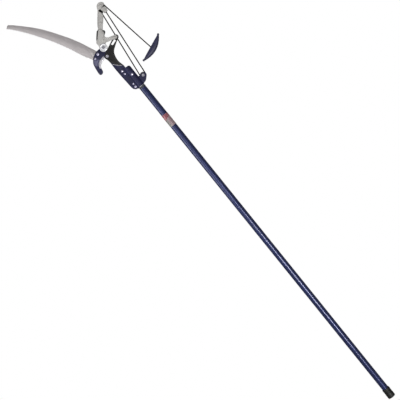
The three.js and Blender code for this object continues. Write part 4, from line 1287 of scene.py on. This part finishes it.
def handleGrip(values):
    # A bowed grip, thick in the middle and narrow at the ends, with a moulded parting line.
    a, b = [Vector(p) for p in values["tips"]]
    length = (b - a).length
    along = (b - a).normalized()
    out = flat(-along.y, along.x)
    vertices, faces = [], []
    rings, around = values["rings"], values["around"]
    for i in range(rings + 1):
        t = i / rings
        bow = math.sin(math.pi * t)
        outer = 3.2 + (values["depth"] - 3.2) * bow ** 0.8
        inner = -2 - 0.4 * bow ** 1.5
        middle, wide = (outer + inner) / 2, (outer - inner) / 2
        thick = 3.4 + (values["half"] - 3.4) * bow ** 0.55
        for k in range(around):
            angle = turn * k / around
            groove = values["parting"] if k in (0, around // 2) else 0
            w = middle + (wide - groove) * math.cos(angle)
            place = a + along * length * t + out * w
            vertices.append((*place, values["z"] + thick * math.sin(angle)))
    for i in range(rings):
        for k in range(around):
            n = (k + 1) % around
            faces.append((i * around + k, i * around + n, (i + 1) * around + n, (i + 1) * around + k))
    faces.append(tuple(range(around)))
    faces.append(tuple(range(rings * around, (rings + 1) * around)))
    grip = meshFrom(vertices, faces)
    balls = []
    for tip in (a, b):
        profile = [(values["ball"] * math.sin(math.pi * k / 18),
                    -values["ball"] * math.cos(math.pi * k / 18))
                   for k in range(19)]
        profile[0], profile[-1] = (0, profile[0][1]), (0, profile[-1][1])
        ball = lathe(profile, 36, at=(tip.x, tip.y))
        ball.transform(Matrix.Translation((0, 0, values["z"] * mm)))
        balls.append(ball)
    return welded(joined(grip, *balls), 0.7, 2)


def drilled(mesh, start, end, radius):
    # Takes a round hole from start to end out of a closed mesh.
    body = held(mesh)
    cutter = held(sweep([start, end], ringSection(radius, 32)))
    cut = body.modifiers.new("drill", "BOOLEAN")
    cut.object = cutter
    cut.solver = "EXACT"
    made = frozen(body)
    bpy.data.objects.remove(cutter)
    return made


entry, last = Vector(routes["ropeHandleStrand"][-1]), Vector(routes["ropeHandleStrand"][-6])
pull = (entry - last).normalized()
drill = {"before": 16, "beyond": 3, "radius": 2.6}
gripMesh = drilled(handleGrip(handle), entry - pull * drill["before"], entry + pull * drill["beyond"],
                   drill["radius"])
addPiece("pullHandle", gripMesh, handlePlastic, "rope_end", ["pull_handle"], sharp=60)
print("handle done")


# Floor, light.

stageSizes = {"floorZ": -19.2, "floor": 14000, "white": (1, 1, 1, 1), "bounce": 0.35}


def addFloor(values):
    # Plain pale paper: white to the eye, and a dimmer bounce for the object.
    half = values["floor"] / 2
    mesh = bpy.data.meshes.new("floor")
    mesh.from_pydata([(x * half * mm, y * half * mm, values["floorZ"] * mm)
                      for x, y in ((-1, -1), (1, -1), (1, 1), (-1, 1))], [], [(0, 1, 2, 3)])
    floor = held(mesh, "floor")
    look = bpy.data.materials.new("paper")
    look.use_nodes = True
    tree = look.node_tree
    tree.nodes.remove(tree.nodes["Principled BSDF"])
    rays = add(tree, "ShaderNodeLightPath")
    seen = add(tree, "ShaderNodeEmission", {"Color": values["white"], "Strength": 1.0})
    grey = values["bounce"]
    dim = add(tree, "ShaderNodeBsdfDiffuse", {"Color": (grey, grey, grey, 1)})
    mixed = add(tree, "ShaderNodeMixShader", {0: rays.outputs["Is Camera Ray"], 1: dim.outputs[0],
                                              2: seen.outputs[0]})
    tree.links.new(mixed.outputs[0], tree.nodes["Material Output"].inputs["Surface"])
    mesh.materials.append(look)


def addWorld(strength):
    world = bpy.data.worlds.new("studio")
    world.use_nodes = True
    bpy.context.scene.world = world
    tree = world.node_tree
    rays = add(tree, "ShaderNodeLightPath")
    seen = add(tree, "ShaderNodeBackground", {"Color": (1, 1, 1, 1), "Strength": 1.0})
    dim = add(tree, "ShaderNodeBackground", {"Color": (1, 1, 1, 1), "Strength": strength})
    mixed = add(tree, "ShaderNodeMixShader", {0: rays.outputs["Is Camera Ray"], 1: dim.outputs[0],
                                              2: seen.outputs[0]})
    tree.links.new(mixed.outputs[0], tree.nodes["World Output"].inputs["Surface"])


def addLight(name, place, aim, size, power, soft=True):
    lamp = bpy.data.lights.new(name, "AREA")
    lamp.shape = "RECTANGLE"
    lamp.size, lamp.size_y = size
    lamp.energy = power
    holder = bpy.data.objects.new(name, lamp)
    holder.location = place
    holder.rotation_euler = (Vector(aim) - Vector(place)).to_track_quat("-Z", "Y").to_euler()
    holder.visible_diffuse = soft
    inScene(holder)


lights = {
    "stripOverPole": ((0.2, -0.34, 3.0), (0.2, 0.0, 0), (1.1, 0.2), 66, False),
    "sideBox": ((1.36, 1.4, 0.7), (1.26, 0.0, 0), (0.8, 0.9), 10),
    "topBox": ((1.3, 0.9, 3.2), (1.2, 0.0, 0), (2.4, 1.2), 14),
}
worldStrength = 0.37
addFloor(stageSizes)
addWorld(worldStrength)
for name, values in lights.items():
    addLight(name, *values)
bpy.context.scene.view_settings.view_transform = "Standard"
print("stage and light done")
